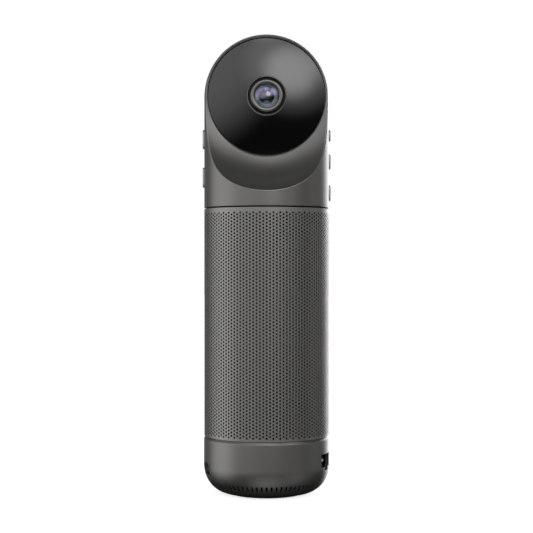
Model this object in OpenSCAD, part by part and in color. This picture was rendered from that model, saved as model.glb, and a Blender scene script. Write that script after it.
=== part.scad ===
// Tower conference camera: a turning camera head on a speaker column, standing on a base
// with sockets. +Z is up and the lens looks along -Y. The origin lies on the resting
// plane, on the tower's axis. Heights named *_z are above that plane.

/* [Tower] */
// Diameter of the head and of the speaker grille
tower_d = 76; // [74:1:92]
// Height from the resting plane to the top of the dome
tower_h = 279; // [232:1:335]
// Wall of the head and base shells
wall = 2; // [1.6:0.1:2.4]

/* [Head] */
// Height of the scoop's lowest point above the head's lower edge
lip_h = 9.16; // [8:0.02:14]
// Open groove between the head and the column
groove = 0.7; // [0.5:0.1:1.2]
// How far the lens axis lies below the centre of the dome
lens_drop = 0.4; // [0:0.1:2]
// Width of the rim between the lens plate's pocket and the side of the head
rim_w = 2.3; // [2:0.1:3]
// How far the rim of the pocket stands in front of the tower's axis
rim_forward = 9; // [7:0.5:11]
// Angle at which the scoop flares away from the pocket's rim
flare_angle = 21; // [15:1:30]
// How far the centre of the scoop's arc lies in front of the tower
flare_ahead = 3.5; // [2:0.5:8]

/* [Lens plate and lens] */
// Gap around the lens plate
plate_gap = 0.35; // [0.2:0.05:0.6]
// How far the lens plate's edge lies behind the pocket's rim
plate_sunk = 0.2; // [0:0.1:1]
// Thickness of the lens plate
plate_t = 2.4; // [1.6:0.1:3]
// Rise of the lens plate from its edge to its middle
plate_rise = 4; // [2:0.5:6]
// Radius of the lens plate's hole
bezel_r = 12; // [11:0.2:14]
// Outer radius of the lens barrel
barrel_r = 10; // [9:0.2:10.4]
// Radius of the front lens element
glass_r = 7.25; // [6:0.05:8]
// How far the barrel's front ring stands in front of the tower's axis
barrel_forward = 13.6; // [12.5:0.1:16]

/* [Keys] */
// Width of each key, front to back
key_w = 5; // [4:0.5:7]
// How far a key stands out of the head
key_proud = 1; // [0.6:0.1:1.6]
// Travel of a key
key_travel = 0.6; // [0.3:0.1:0.8]
// Gap around a key in its opening
key_gap = 0.2; // [0.15:0.05:0.4]

/* [Speaker column] */
// Thickness of the perforated grille
grille_t = 0.8; // [0.5:0.1:1.2]
// Thickness of the cloth sleeve behind the grille
sleeve_t = 0.4; // [0.2:0.1:0.6]
// Radius of the frame's four pillars
pillar_r = 3; // [2.5:0.25:3.5]
// Width of the driver's rim around its cone, surround and flange together
driver_rim = 8.2; // [8:0.2:12]

/* [Pan drive] */
// Module of the gear teeth
gear_module = 0.8; // [0.6:0.1:1]
// Teeth on the motor's pinion
pinion_teeth = 12; // [12:1:16]
// Width of the gear
gear_t = 4; // [3:0.5:6]
// Radius of the hollow pan hub
hub_r = 12; // [10:0.2:12.4]
// Bore of the pan hub
hub_bore_r = 6; // [4:0.5:8]
// Radius of the bearing's balls
ball_r = 1.5; // [1.2:0.1:1.6]
// Turn from the middle to the pan stop
pan_limit = 170; // [120:5:172]

/* [Base] */
// How far the base stands out past the tower all round
base_step = 0.2; // [0:0.1:2]
// Height of the base's wall
base_h = 35.2; // [34:0.2:44]
// Width of the rounded lower edge
fillet_w = 15; // [12:0.5:18]
// Height of the rounded lower edge
fillet_h = 17.1; // [14:0.1:19]
// Height of the rubber foot
foot_h = 0.8; // [0.6:0.1:1.5]
// Number of vent slots around the lower edge
vent_count = 76; // [40:4:88]
// Width of a vent slot
vent_w = 1.3; // [0.8:0.1:1.6]
// Length of a vent slot
vent_l = 4.6; // [3:0.2:6]

/* [Sockets] */
// Width of the network jack's mouth
jack_w = 12; // [11.6:0.1:12.4]
// Height of the network jack's mouth
jack_h = 7.5; // [6.8:0.1:8]
// Width of the video socket's mouth
video_w = 14.6; // [14:0.1:15.5]
// Height of the video socket's mouth
video_h = 5; // [4.5:0.1:5.5]
// Width of the data socket's mouth
usb_w = 8.4; // [8:0.1:9]
// Height of the data socket's mouth
usb_h = 2.7; // [2.5:0.1:3.2]
// Radius of the power socket's mouth
power_mouth_r = 2.9; // [2:0.1:3.5]
// Radius of the tripod thread's wall, a quarter-inch thread
tripod_r = 2.56; // [2.4:0.01:4.2]

/* [Fits] */
// Gap between pieces that seat in each other
seat_gap = 0.05; // [0.02:0.01:0.1]
// Radial clearance of a shaft that turns
shaft_gap = 0.05; // [0.02:0.01:0.1]

/* [Hidden] */
$fn = 96;
BIG = 400;
EPS = 0.01;

tower_r = tower_d / 2;
base_r = tower_r + base_step;
dome_z = tower_h - tower_r;
lens_z = dome_z - lens_drop;

// Head shell. The scoop is an arc round the lens axis that starts on the pocket's rim.
head_inner_r = tower_r - wall;
pocket_r = tower_r - rim_w;
plate_r = pocket_r - plate_gap;
plate_edge = rim_forward - plate_sunk;
pocket_floor = plate_edge - plate_t;
arc_forward = tower_r + flare_ahead;
arc_r = (arc_forward - rim_forward) / cos(flare_angle);
arc_side = pocket_r - arc_r * sin(flare_angle);
arc_steps = 18;
head_z = lens_z - arc_side - arc_r - lip_h;
head_h = tower_h - head_z;
column_z = head_z - groove;
cap_r = (plate_r * plate_r + plate_rise * plate_rise) / (2 * plate_rise);
camera_hole_r = 24;

// Lens
bezel_wall = 0.65;
bezel_floor = 1.2;
moat_depth = 2.1;
gasket_r = 0.7;
barrel_back = -4;
front_seat = barrel_forward - 3.05;
second_r = 5.65;
rear_r = 4.25;
middle_bore_back = 3;
mount_w = 27;
mount_flange_w = 40;
mount_back = -7.4;
flange_t = 2;
frame_t = 2;
sensor_cavity = 11;
board_t = 1.6;

// Head interior
head_plate_t = 3;
base_plate_top = head_z + head_plate_t;
hub_flange_r = 17;
hub_flange_t = 2;
frame_half_w = head_inner_r - 6;
harness_r = 2.5;
harness_top = base_plate_top + 11.6;
vision_y = 12;
key_board_x = frame_half_w;
key_board_t = 1.2;
key_flange_t = 0.8;
key_flange_x = head_inner_r - 0.6;
switch_top_x = key_flange_x - key_flange_t - key_travel - 0.1;
boss_ring_r = tower_r - 4.8;
boss_r = 3;
boss_h = 10;
screw_r = 1.45;
screw_hole_r = 1.5;
screw_head_r = 2.4;
screw_head_h = 1.6;
counterbore_r = 2.6;

// Keys: [middle above the head's lower edge, length]
LEFT_KEYS = [[41.9, 11.8], [18.7, 12.4]];
RIGHT_KEYS = [[44.2, 7.2], [28.3, 9.4], [9.2, 9.8]];

// Pan drive, from the column's top downwards
top_plate_t = 4;
bearing_w = 5;
bearing_z = column_z - 7.7;
bearing_ledge = 2;
housing_z = bearing_z - bearing_ledge;
race_gap = 0.05;
ball_ring_r = hub_r + 4;
ball_count = floor(180 / asin((ball_r + 0.03) / ball_ring_r));
race_inner_r = ball_ring_r - 0.55 * ball_r;
race_outer_r = ball_ring_r + 0.55 * ball_r;
bearing_outer_r = ball_ring_r + 4;
housing_r = bearing_outer_r + 4.5;
stop_ring_r = bearing_outer_r + 2.8;
stop_pin_r = 1;
stop_groove_w = 2.4;
stop_groove_depth = 2.2;
stop_half = 180 - pan_limit - asin(stop_pin_r / stop_ring_r) - 0.4;
gear_top = housing_z - 2;
gear_z = gear_top - gear_t;
hub_z = gear_z - 0.5;
deck_t = 2;
deck_z = gear_z - 2 - deck_t;
motor_r = 6;
motor_l = 20;
motor_z = deck_z - motor_l;
shaft_r = 1;

// Column
grille_inner_r = tower_r - grille_t;
sleeve_r = grille_inner_r - 0.2;
spigot_r = grille_inner_r - 0.1;
spigot_h = 2.8;
box_r = tower_r - 5;
pillar_ring_r = box_r - pillar_r - 0.4;
pinion_room = 6.5;
gear_teeth = floor(2 * (pillar_ring_r - pillar_r - pinion_room) / gear_module);
gear_pitch_r = gear_teeth * gear_module / 2;
pinion_pitch_r = pinion_teeth * gear_module / 2;
pinion_y = gear_pitch_r + pinion_pitch_r;
pinion_turn = (gear_teeth / 4 + 0.5 + 0.75 * pinion_teeth) * 360 / pinion_teeth;
board_top = motor_z - 5.4;
board_z = board_top - board_t;
box_top = board_z - 8;
box_plate_t = 2.5;
sound_share = 0.2512;
sound_gap = sound_share * (box_top - base_h);
box_z = base_h + sound_gap;
deflector_h = 0.625 * sound_gap;
mic_ring_in = box_r + 0.4;
mic_ring_out = sleeve_r - sleeve_t - 0.7;

// Speaker driver. Its levels inside the box are shares of the box's height.
driver_flange_r = pillar_ring_r - pillar_r;
driver_hole_r = driver_flange_r - 2.1;
cone_r = driver_flange_r - driver_rim;
coil_r = 9.3;
flange_h = 2;
lip_drop = 0.8;
cone_edge_h = 1;
cone_t = 0.8;
former_t = 0.4;
box_inside = box_top - box_z;
dust_cap_z = box_z + 0.105 * box_inside;
cone_neck_z = box_z + 0.129 * box_inside;
coil_z = box_z + 0.226 * box_inside;
coil_h = 0.081 * box_inside;
magnet_z = box_z + 0.258 * box_inside;
former_top = box_z + 0.308 * box_inside;
top_pole_h = 0.048 * box_inside;
magnet_h = 0.097 * box_inside;
back_pole_h = 0.048 * box_inside;

// Base
shell_bottom = foot_h;
fillet_z = shell_bottom + fillet_h;
fillet_r = base_r - fillet_w;
base_inner = 2.2;
floor_r = 20;
base_deck_t = 2.5;
base_plate_t = 3;
base_boss_z = shell_bottom + base_plate_t + seat_gap;
base_chamfer = 0.9;
port_board_top = 12.4;
port_board_r = base_r - 7.2;
base_boss_ring_r = 14;
vent_angle = 40;

// Socket directions around the tower, from +X towards +Y
JACK_AT = -20;
VIDEO_AT = -167;
USB_AT = 130;
POWER_AT = 90;
socket_front = base_r - 4.2;
jack_mouth = [jack_w, jack_h];
video_mouth = [video_w, video_h];
usb_mouth = [usb_w, usb_h];

// ---- Shared shapes -------------------------------------------------------------------

// Puts a shape on the lens axis: its local +Z then points forward, along -Y
module on_lens_axis() {
    translate([0, 0, lens_z])
        rotate([90, 0, 0])
            children();
}

// A ring or tube standing on height z
module tube(z, h, outer, inner) {
    translate([0, 0, z])
        difference() {
            cylinder(r = outer, h = h);
            translate([0, 0, -1])
                cylinder(r = inner, h = h + 2);
        }
}

// A disc standing on height z
module disc(z, h, r) {
    translate([0, 0, z])
        cylinder(r = r, h = h);
}

// A box given by its lowest and highest corner
module block(low, high) {
    translate(low)
        cube(high - low);
}

// Copies at the four pillars
module at_pillars() {
    for (a = [45 : 90 : 315])
        rotate([0, 0, a])
            translate([pillar_ring_r, 0, 0])
                children();
}

// Copies at the head's four screw bosses
module at_bosses() {
    for (a = [45 : 90 : 315])
        rotate([0, 0, a])
            translate([boss_ring_r, 0, 0])
                children();
}

// Copies at the base's three screw bosses
module at_base_bosses() {
    for (a = [30 : 120 : 270])
        rotate([0, 0, a])
            translate([base_boss_ring_r, 0, 0])
                children();
}

// A screw with its head's underside at height z, its shank pointing up or down
module screw(z, length, up = true) {
    translate([0, 0, z])
        mirror([0, 0, up ? 0 : 1]) {
            cylinder(r = screw_r, h = length);
            translate([0, 0, -screw_head_h])
                cylinder(r = screw_head_r, h = screw_head_h);
        }
}

// The head's outer form, a dome on a cylinder, made smaller by inset
module head_form(inset, low) {
    translate([0, 0, low])
        rotate_extrude()
            intersection() {
                union() {
                    square([tower_r - inset, dome_z - low]);
                    translate([0, dome_z - low])
                        circle(r = tower_r - inset);
                }
                square([BIG, BIG]);
            }
}

// Half-profile of the scoop, [side, forward], with the surrounding wall taken in by grow
function scoop_arc(grow) = [
    for (i = [0 : arc_steps])
        let (a = (i / arc_steps - 1) * (90 - flare_angle))
            [arc_side + (arc_r + grow) * cos(a), arc_forward + (arc_r + grow) * sin(a)]
];

// The scoop in front of the lens plate, as a cutter
module scoop(grow) {
    arc = scoop_arc(grow);
    on_lens_axis()
        rotate_extrude()
            polygon(concat([[0, arc[0][1]]], arc, [[arc[arc_steps][0], BIG / 4], [0, BIG / 4]]));
}

// The lens plate's pocket, as a cutter
module pocket(grow) {
    on_lens_axis()
        translate([0, 0, pocket_floor - grow])
            cylinder(r = pocket_r + grow, h = tower_r);
}

// Forward place of the lens plate's front face at a distance r from the lens axis
function plate_front(r) = plate_edge + plate_rise - cap_r + sqrt(cap_r * cap_r - r * r);

// Involute gear, teeth standing on height z
function involute_angle(r, base) = tan(acos(base / r)) * 180 / PI - acos(base / r);

module gear(teeth, z, h, backlash = 0.12, pressure = 25) {
    pitch = teeth * gear_module / 2;
    base = pitch * cos(pressure);
    tip = pitch + 0.85 * gear_module;
    root = pitch - 1.1 * gear_module;
    start = max(base + EPS, root);
    half = (PI * gear_module / 2 - backlash) / (2 * pitch) * 180 / PI;
    steps = 4;
    flank = [
        for (i = [0 : steps])
            let (r = start + (tip - start) * i / steps)
                [r, half + involute_angle(pitch, base) - involute_angle(r, base)]
    ];
    foot_angle = flank[0][1];
    translate([0, 0, z])
        linear_extrude(height = h)
            polygon([
                for (t = [0 : teeth - 1])
                    let (c = t * 360 / teeth)
                        each concat(
                            [[root * cos(c - foot_angle), root * sin(c - foot_angle)]],
                            [for (p = flank) [p[0] * cos(c - p[1]), p[0] * sin(c - p[1])]],
                            [for (i = [steps : -1 : 0])
                                [flank[i][0] * cos(c + flank[i][1]),
                                 flank[i][0] * sin(c + flank[i][1])]],
                            [[root * cos(c + foot_angle), root * sin(c + foot_angle)]]
                        )
            ]);
}

// ---- Head: shell and lens ------------------------------------------------------------

// A key's opening in the side of the head; side is -1 on the left and 1 on the right
module key_opening(side, key) {
    w = key_w / 2 + key_gap;
    h = key[1] / 2 + key_gap;
    z = head_z + key[0];
    translate([side * tower_r, 0, z])
        cube([4 * wall, 2 * w, 2 * h], center = true);
}

module head_shell() {
    color("dimgray")
        difference() {
            union() {
                difference() {
                    head_form(0, head_z);
                    difference() {
                        head_form(wall, head_z - 1);
                        scoop(wall);
                        pocket(wall);
                    }
                }
                intersection() {
                    head_form(wall / 2, head_z);
                    at_bosses()
                        disc(base_plate_top + seat_gap, boss_h, boss_r);
                }
            }
            scoop(0);
            pocket(0);
            on_lens_axis()
                cylinder(r = camera_hole_r, h = tower_r);
            at_bosses()
                disc(base_plate_top, boss_h - 1, screw_hole_r);
            for (key = LEFT_KEYS)
                key_opening(-1, key);
            for (key = RIGHT_KEYS)
                key_opening(1, key);
        }
}

module lens_plate() {
    steps = 8;
    front = [
        for (i = [0 : steps])
            let (r = bezel_r + (plate_r - bezel_r) * i / steps)
                [r, plate_front(r)]
    ];
    color([0.02, 0.02, 0.02])
        on_lens_axis()
            rotate_extrude()
                polygon(concat(front, [
                    for (i = [steps : -1 : 0])
                        [front[i][0], front[i][1] - plate_t]
                ]));
}

module lens_bezel() {
    outer = bezel_r - seat_gap;
    top = plate_front(bezel_r) + 0.15;
    floor_top = top - moat_depth;
    color("gray")
        on_lens_axis()
            rotate_extrude()
                polygon([
                    [barrel_r + 0.1, floor_top - bezel_floor],
                    [outer, floor_top - bezel_floor],
                    [outer, top],
                    [outer - bezel_wall + 0.3, top],
                    [outer - bezel_wall, top - 0.3],
                    [outer - bezel_wall, floor_top],
                    [barrel_r + 0.1, floor_top]
                ]);
}

module lens_gasket() {
    color("black")
        on_lens_axis()
            translate([0, 0, plate_front(bezel_r) + 0.15 - moat_depth - bezel_floor - gasket_r])
                rotate_extrude()
                    translate([barrel_r + 0.1 + gasket_r, 0])
                        circle(r = gasket_r);
}

module lens_barrel() {
    front_r = glass_r + seat_gap;
    color([0.06, 0.06, 0.07])
        on_lens_axis()
            rotate_extrude()
                polygon([
                    [rear_r + seat_gap, barrel_back],
                    [barrel_r, barrel_back],
                    [barrel_r, barrel_forward - 0.4],
                    [barrel_r - 0.4, barrel_forward],
                    [front_r + 0.4, barrel_forward],
                    [front_r, barrel_forward - 0.6],
                    [front_r, front_seat],
                    [second_r + seat_gap, front_seat],
                    [second_r + seat_gap, middle_bore_back],
                    [rear_r + seat_gap, middle_bore_back]
                ]);
}

// A lens element with one domed face; low and high are the rim's places
module element(r, low, high, dome_r) {
    sag = dome_r - sqrt(dome_r * dome_r - r * r);
    steps = 8;
    sweep = asin(r / dome_r);
    on_lens_axis()
        rotate_extrude()
            polygon(concat([[0, low], [r, low]], [
                for (i = [0 : steps])
                    let (a = sweep * (1 - i / steps))
                        [dome_r * sin(a), high + sag - dome_r + dome_r * cos(a)]
            ]));
}

module front_element() {
    color([0.35, 0.35, 0.6, 0.5])
        element(glass_r, front_seat + seat_gap, barrel_forward - 0.7, 11.5);
}

module second_element() {
    color([0.4, 0.4, 0.6, 0.5])
        element(second_r, middle_bore_back + 2, middle_bore_back + 4, 9);
}

module rear_element() {
    color([0.4, 0.4, 0.6, 0.5])
        element(rear_r, -1.5, 0.5, 8);
}

module lens_mount() {
    color("black")
        difference() {
            on_lens_axis() {
                translate([-mount_w / 2, -mount_w / 2, mount_back])
                    cube([mount_w, mount_w, frame_t + flange_t - mount_back]);
                translate([-mount_flange_w / 2, -mount_w / 2, frame_t])
                    cube([mount_flange_w, mount_w, flange_t]);
            }
            on_lens_axis() {
                translate([0, 0, barrel_back - seat_gap])
                    cylinder(r = barrel_r + seat_gap, h = tower_r);
                translate([-sensor_cavity / 2, -sensor_cavity / 2, mount_back - 1])
                    cube([sensor_cavity, sensor_cavity, 1 + barrel_back - mount_back]);
            }
        }
}

module ir_filter() {
    side = sensor_cavity - 2 * seat_gap;
    color([0.5, 0.2, 0.3, 0.5])
        on_lens_axis()
            translate([-side / 2, -side / 2, barrel_back - 1.2])
                cube([side, side, 0.5]);
}

module image_sensor() {
    color("darkslategray")
        on_lens_axis()
            translate([-5, -4, mount_back])
                cube([10, 8, 1.2]);
}

module sensor_board() {
    color("darkgreen")
        on_lens_axis()
            translate([-15, -15, mount_back - board_t])
                cube([30, 30, board_t]);
}

// ---- Head: frame, boards and keys ----------------------------------------------------

module head_frame() {
    top = lens_z + 22;
    color("gray")
        difference() {
            intersection() {
                union() {
                    block([-frame_half_w, -frame_t, base_plate_top],
                          [frame_half_w, 0, top]);
                    for (side = [-1, 1]) {
                        block([side > 0 ? hub_flange_r + 3 : -frame_half_w, -frame_t, base_plate_top],
                              [side > 0 ? frame_half_w : -hub_flange_r - 3, vision_y, base_plate_top + 2]);
                        for (z = [lens_z - 45, lens_z + 14])
                            translate([side * 20, -EPS, z])
                                rotate([-90, 0, 0])
                                    cylinder(r = 2, h = vision_y + EPS);
                    }
                }
                head_form(wall + 1, head_z);
            }
            block([-hub_flange_r - 2, -tower_r, head_z], [hub_flange_r + 2, tower_r, base_plate_top + 2.6]);
            block([-6, -tower_r, head_z], [6, tower_r, harness_top + 0.5]);
            translate([0, 0, lens_z])
                cube([mount_w + 0.4, 10, mount_w + 0.4], center = true);
        }
}

module vision_board() {
    color("darkgreen") {
        block([-24, vision_y, base_plate_top + 10], [24, vision_y + board_t, lens_z + 18]);
        block([-9, vision_y + board_t, lens_z - 24], [9, vision_y + board_t + 1.4, lens_z - 6]);
        for (x = [-18, 13])
            block([x, vision_y + board_t, lens_z - 46], [x + 6, vision_y + board_t + 1, lens_z - 36]);
    }
}

module heat_sink() {
    y = vision_y + board_t + 1.4;
    color("silver") {
        block([-13, y, lens_z - 36], [13, y + 2.5, lens_z + 4]);
        for (i = [0 : 6])
            block([-13 + i * 4, y + 2.5, lens_z - 36], [-11.4 + i * 4, y + 13, lens_z + 4]);
    }
}

module key_board(side) {
    color("darkgreen")
        translate([side > 0 ? key_board_x : -key_board_x - key_board_t, -4, head_z + 4])
            cube([key_board_t, 10, 46]);
}

module left_key_board() {
    key_board(-1);
}

module right_key_board() {
    key_board(1);
}

module key_switch(side, key) {
    inner = key_board_x + key_board_t;
    translate([side > 0 ? inner : -switch_top_x, -2, head_z + key[0] - 2])
        cube([switch_top_x - inner, 4, 4]);
}

module key_switches() {
    color("silver") {
        for (key = LEFT_KEYS)
            key_switch(-1, key);
        for (key = RIGHT_KEYS)
            key_switch(1, key);
    }
}

// A key: a cap that follows the side of the head, on a wider flange inside it
module key_piece(side, key) {
    z = head_z + key[0];
    color("dimgray")
        intersection() {
            union() {
                translate([side * tower_r, 0, z])
                    cube([4 * wall, key_w, key[1]], center = true);
                translate([side * (key_flange_x - key_flange_t / 2), 0, z])
                    cube([key_flange_t, key_w + 2.4, key[1] + 2], center = true);
            }
            disc(head_z, head_h, tower_r + key_proud);
            translate([side * (key_flange_x - key_flange_t + tower_r), 0, z])
                cube([2 * tower_r, tower_r, tower_r], center = true);
        }
}

module key_left_upper() {
    key_piece(-1, LEFT_KEYS[0]);
}

module key_left_lower() {
    key_piece(-1, LEFT_KEYS[1]);
}

module key_right_upper() {
    key_piece(1, RIGHT_KEYS[0]);
}

module key_right_middle() {
    key_piece(1, RIGHT_KEYS[1]);
}

module key_right_lower() {
    key_piece(1, RIGHT_KEYS[2]);
}

// ---- Pan drive -----------------------------------------------------------------------

module head_base_plate() {
    color("dimgray")
        difference() {
            union() {
                disc(head_z, head_plate_t, head_inner_r - seat_gap);
                translate([0, -stop_ring_r, head_z - groove - 1.5])
                    cylinder(r = stop_pin_r, h = groove + 1.5 + EPS);
            }
            disc(head_z - 1, head_plate_t + 2, hub_r + seat_gap);
            at_bosses() {
                disc(head_z - 1, head_plate_t + 2, screw_hole_r);
                disc(head_z - 1, 1 + screw_head_h + 0.1, counterbore_r);
            }
        }
}

module head_screws() {
    color("silver")
        at_bosses()
            screw(head_z + screw_head_h + 0.1, boss_h - 1);
}

module pan_hub() {
    color("silver")
        difference() {
            union() {
                disc(hub_z, base_plate_top - hub_z, hub_r);
                disc(base_plate_top, hub_flange_t, hub_flange_r);
            }
            disc(hub_z - 1, base_plate_top - hub_z + hub_flange_t + 2, hub_bore_r);
        }
}

module pan_gear() {
    color("ivory")
        difference() {
            gear(gear_teeth, gear_z, gear_t);
            disc(gear_z - 1, gear_t + 2, hub_r + seat_gap);
        }
}

// A bearing race with its ball groove
module race(inner, outer) {
    color("silver")
        difference() {
            tube(bearing_z, bearing_w, outer, inner);
            translate([0, 0, bearing_z + bearing_w / 2])
                rotate_extrude()
                    translate([ball_ring_r, 0])
                        circle(r = ball_r + race_gap);
        }
}

module bearing_inner_race() {
    race(hub_r + seat_gap, race_inner_r);
}

module bearing_outer_race() {
    race(race_outer_r, bearing_outer_r);
}

module bearing_balls() {
    color("silver")
        for (i = [0 : ball_count - 1])
            rotate([0, 0, i * 360 / ball_count])
                translate([ball_ring_r, 0, bearing_z + bearing_w / 2])
                    sphere(r = ball_r);
}

module motor_pinion() {
    color("ivory")
        translate([0, pinion_y, 0])
            union() {
                rotate([0, 0, pinion_turn])
                    gear(pinion_teeth, gear_z - 0.5, gear_t + 1);
                disc(deck_z - 5, gear_z - deck_z + 5 + EPS, shaft_r);
            }
}

module pan_motor() {
    color("silver")
        translate([0, pinion_y, 0])
            difference() {
                union() {
                    disc(motor_z, motor_l, motor_r);
                    disc(deck_z - EPS, deck_t - 0.2, 2.3);
                    translate([-9, -2.5, deck_z - 1.2])
                        cube([18, 5, 1.2]);
                }
                disc(deck_z - 5.2, 8, shaft_r + shaft_gap);
            }
}

// ---- Speaker column ------------------------------------------------------------------

module column_top_plate() {
    color([0.1, 0.1, 0.1])
        difference() {
            union() {
                disc(column_z - top_plate_t, top_plate_t, spigot_r);
                disc(housing_z, column_z - housing_z, housing_r);
            }
            disc(bearing_z, BIG, bearing_outer_r + seat_gap);
            disc(housing_z - 1, BIG, bearing_outer_r - 2.5);
            difference() {
                tube(column_z - stop_groove_depth, BIG,
                     stop_ring_r + stop_groove_w / 2, stop_ring_r - stop_groove_w / 2);
                translate([0, 0, column_z - stop_groove_depth - 1])
                    linear_extrude(height = BIG)
                        polygon([
                            [0, 0],
                            [-tower_r * sin(stop_half), tower_r * cos(stop_half)],
                            [tower_r * sin(stop_half), tower_r * cos(stop_half)]
                        ]);
            }
            at_pillars() {
                disc(housing_z, BIG, screw_hole_r);
                disc(column_z - screw_head_h - 0.1, BIG, counterbore_r);
            }
        }
}

module frame_screws() {
    color("silver")
        at_pillars()
            screw(column_z - screw_head_h - 0.1, 9, false);
}

module column_frame() {
    color([0.15, 0.15, 0.15])
        difference() {
            union() {
                at_pillars() {
                    disc(box_top, column_z - top_plate_t - box_top, pillar_r);
                    disc(board_z - 2, 2, pillar_r + 1.4);
                }
                disc(deck_z, deck_t, box_r);
                tube(box_top, 2, box_r, driver_flange_r + 0.4);
            }
            disc(deck_z - 1, deck_t + 2, hub_bore_r);
            translate([0, pinion_y, 0])
                disc(deck_z - 1, deck_t + 2, 2.5);
            at_pillars()
                disc(column_z - top_plate_t - 7, BIG, screw_hole_r);
        }
}

module twist_harness() {
    color("black")
        disc(board_top + 3.4, harness_top - board_top - 3.4, harness_r);
}

module main_board() {
    color("darkgreen") {
        difference() {
            disc(board_z, board_t, box_r - 1.2);
            at_pillars()
                disc(board_z - 1, board_t + 2, pillar_r + 0.1);
        }
        block([-5, -4, board_top - EPS], [5, 4, board_top + 3.4]);
        block([-22, -14, board_top - EPS], [-8, 0, board_top + 1.4]);
        block([9, -12, board_top - EPS], [19, -4, board_top + 1.2]);
    }
}

module mic_board() {
    color("darkgreen")
        tube(column_z - top_plate_t - 1.2, 1.2, mic_ring_out, mic_ring_in);
}

module microphones() {
    color("gold")
        for (a = [22.5 : 45 : 360])
            rotate([0, 0, a])
                translate([(mic_ring_in + mic_ring_out) / 2, 0, column_z - top_plate_t - 1.7])
                    cube([2.2, 3, 1], center = true);
}

module speaker_box() {
    color([0.15, 0.15, 0.15]) {
        difference() {
            disc(box_z, box_top - box_z, box_r);
            disc(box_z + box_plate_t, box_top - box_z - 2 * box_plate_t, box_r - 2);
            disc(box_z - 1, BIG, driver_hole_r);
        }
        at_pillars()
            disc(base_h, box_z - base_h + EPS, pillar_r);
    }
}

module speaker_basket() {
    color("dimgray")
        difference() {
            rotate_extrude()
                polygon([
                    [coil_r + 1, coil_z],
                    [coil_r + 4.5, coil_z],
                    [driver_hole_r - 1.6, box_z - lip_drop],
                    [cone_r + 3.4, box_z - lip_drop],
                    [cone_r + 3.4, box_z - flange_h],
                    [driver_flange_r, box_z - flange_h],
                    [driver_flange_r, box_z],
                    [driver_hole_r - 0.2, box_z],
                    [coil_r + 5.7, magnet_z],
                    [coil_r + 1, magnet_z]
                ]);
            for (a = [0 : 90 : 270])
                rotate([0, 0, a])
                    block([-7, coil_r + 7.2, box_z + 2], [7, tower_r, coil_z - 1]);
        }
}

// Half-roll rubber surround with a glued lip; up is 1 for a roll that stands upwards
module surround(z, up) {
    middle = cone_r + 2;
    roll = 1.7;
    rubber = 0.5;
    color("black")
        translate([0, 0, z])
            mirror([0, 0, up > 0 ? 0 : 1])
                rotate_extrude() {
                    intersection() {
                        translate([middle, 0])
                            difference() {
                                circle(r = roll);
                                circle(r = roll - rubber);
                            }
                        square([BIG, BIG]);
                    }
                    translate([middle + roll - rubber, 0])
                        square([4.4, rubber]);
                }
}

module speaker_surround() {
    surround(box_z - flange_h, -1);
}

module speaker_cone() {
    color([0.2, 0.2, 0.2])
        rotate_extrude()
            polygon([
                [0, dust_cap_z],
                [coil_r - former_t, dust_cap_z],
                [cone_r - cone_t, box_z - flange_h - cone_edge_h],
                [cone_r, box_z - flange_h - cone_edge_h],
                [cone_r, box_z - flange_h],
                [coil_r, cone_neck_z],
                [coil_r, former_top],
                [coil_r - former_t, former_top],
                [coil_r - former_t, dust_cap_z + cone_t],
                [0, dust_cap_z + cone_t]
            ]);
}

module voice_coil() {
    color("orange")
        tube(coil_z, coil_h, coil_r + 0.45, coil_r + 0.02);
}

module speaker_magnet() {
    color("silver")
        difference() {
            union() {
                tube(magnet_z, top_pole_h, 16, coil_r + 0.8);
                tube(magnet_z + top_pole_h, magnet_h, 17, 12);
                disc(magnet_z + top_pole_h + magnet_h, back_pole_h, 16);
                disc(magnet_z, top_pole_h + magnet_h + EPS, coil_r - 0.9);
            }
            disc(magnet_z - 1, BIG, 2);
        }
}

module passive_radiator() {
    color([0.2, 0.2, 0.2])
        disc(box_top - 1, 2.4, cone_r);
}

module radiator_surround() {
    surround(box_top, 1);
}

module sound_deflector() {
    color([0.15, 0.15, 0.15])
        translate([0, 0, base_h])
            cylinder(r1 = pillar_ring_r - pillar_r - 2, r2 = 2, h = deflector_h);
}

module acoustic_sleeve() {
    low = base_h + spigot_h + 0.2;
    color("black")
        tube(low, column_z - top_plate_t - 0.2 - low, sleeve_r, sleeve_r - sleeve_t);
}

module speaker_grille() {
    low = base_h + 0.3;
    color("dimgray")
        tube(low, column_z - low, tower_r, grille_inner_r);
}

// ---- Base and sockets ----------------------------------------------------------------

// The base's rounded lower edge, [radius, height], taken in by inset
function fillet(inset, steps) = [
    for (i = [0 : steps])
        let (a = -90 + 90 * i / steps)
            [fillet_r + (fillet_w - inset) * cos(a), fillet_z + (fillet_h - inset) * sin(a)]
];

// Puts a shape on a socket's axis: its local +X then points out of the base
module at_socket(direction, z) {
    rotate([0, 0, direction])
        translate([0, 0, z])
            children();
}

// A socket's mouth as a cutter: out along +X, middle at the given height above z
module mouth(from, size) {
    translate([from, -size[0] / 2, -size[1] / 2])
        cube([base_r, size[0], size[1]]);
}

// The network jack's mouth with its latch notch; it stands on its middle
module jack_mouth_cutter(from, gap) {
    mouth(from, jack_mouth + [gap, gap]);
    translate([0, 0, -jack_mouth[1] / 2 - 1])
        mouth(from, [5 + gap, 2 + gap]);
}

JACK_Z = port_board_top + 9.3;
VIDEO_Z = port_board_top + 3.6;
USB_Z = port_board_top + 2.2;
POWER_Z = port_board_top + 5;

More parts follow.
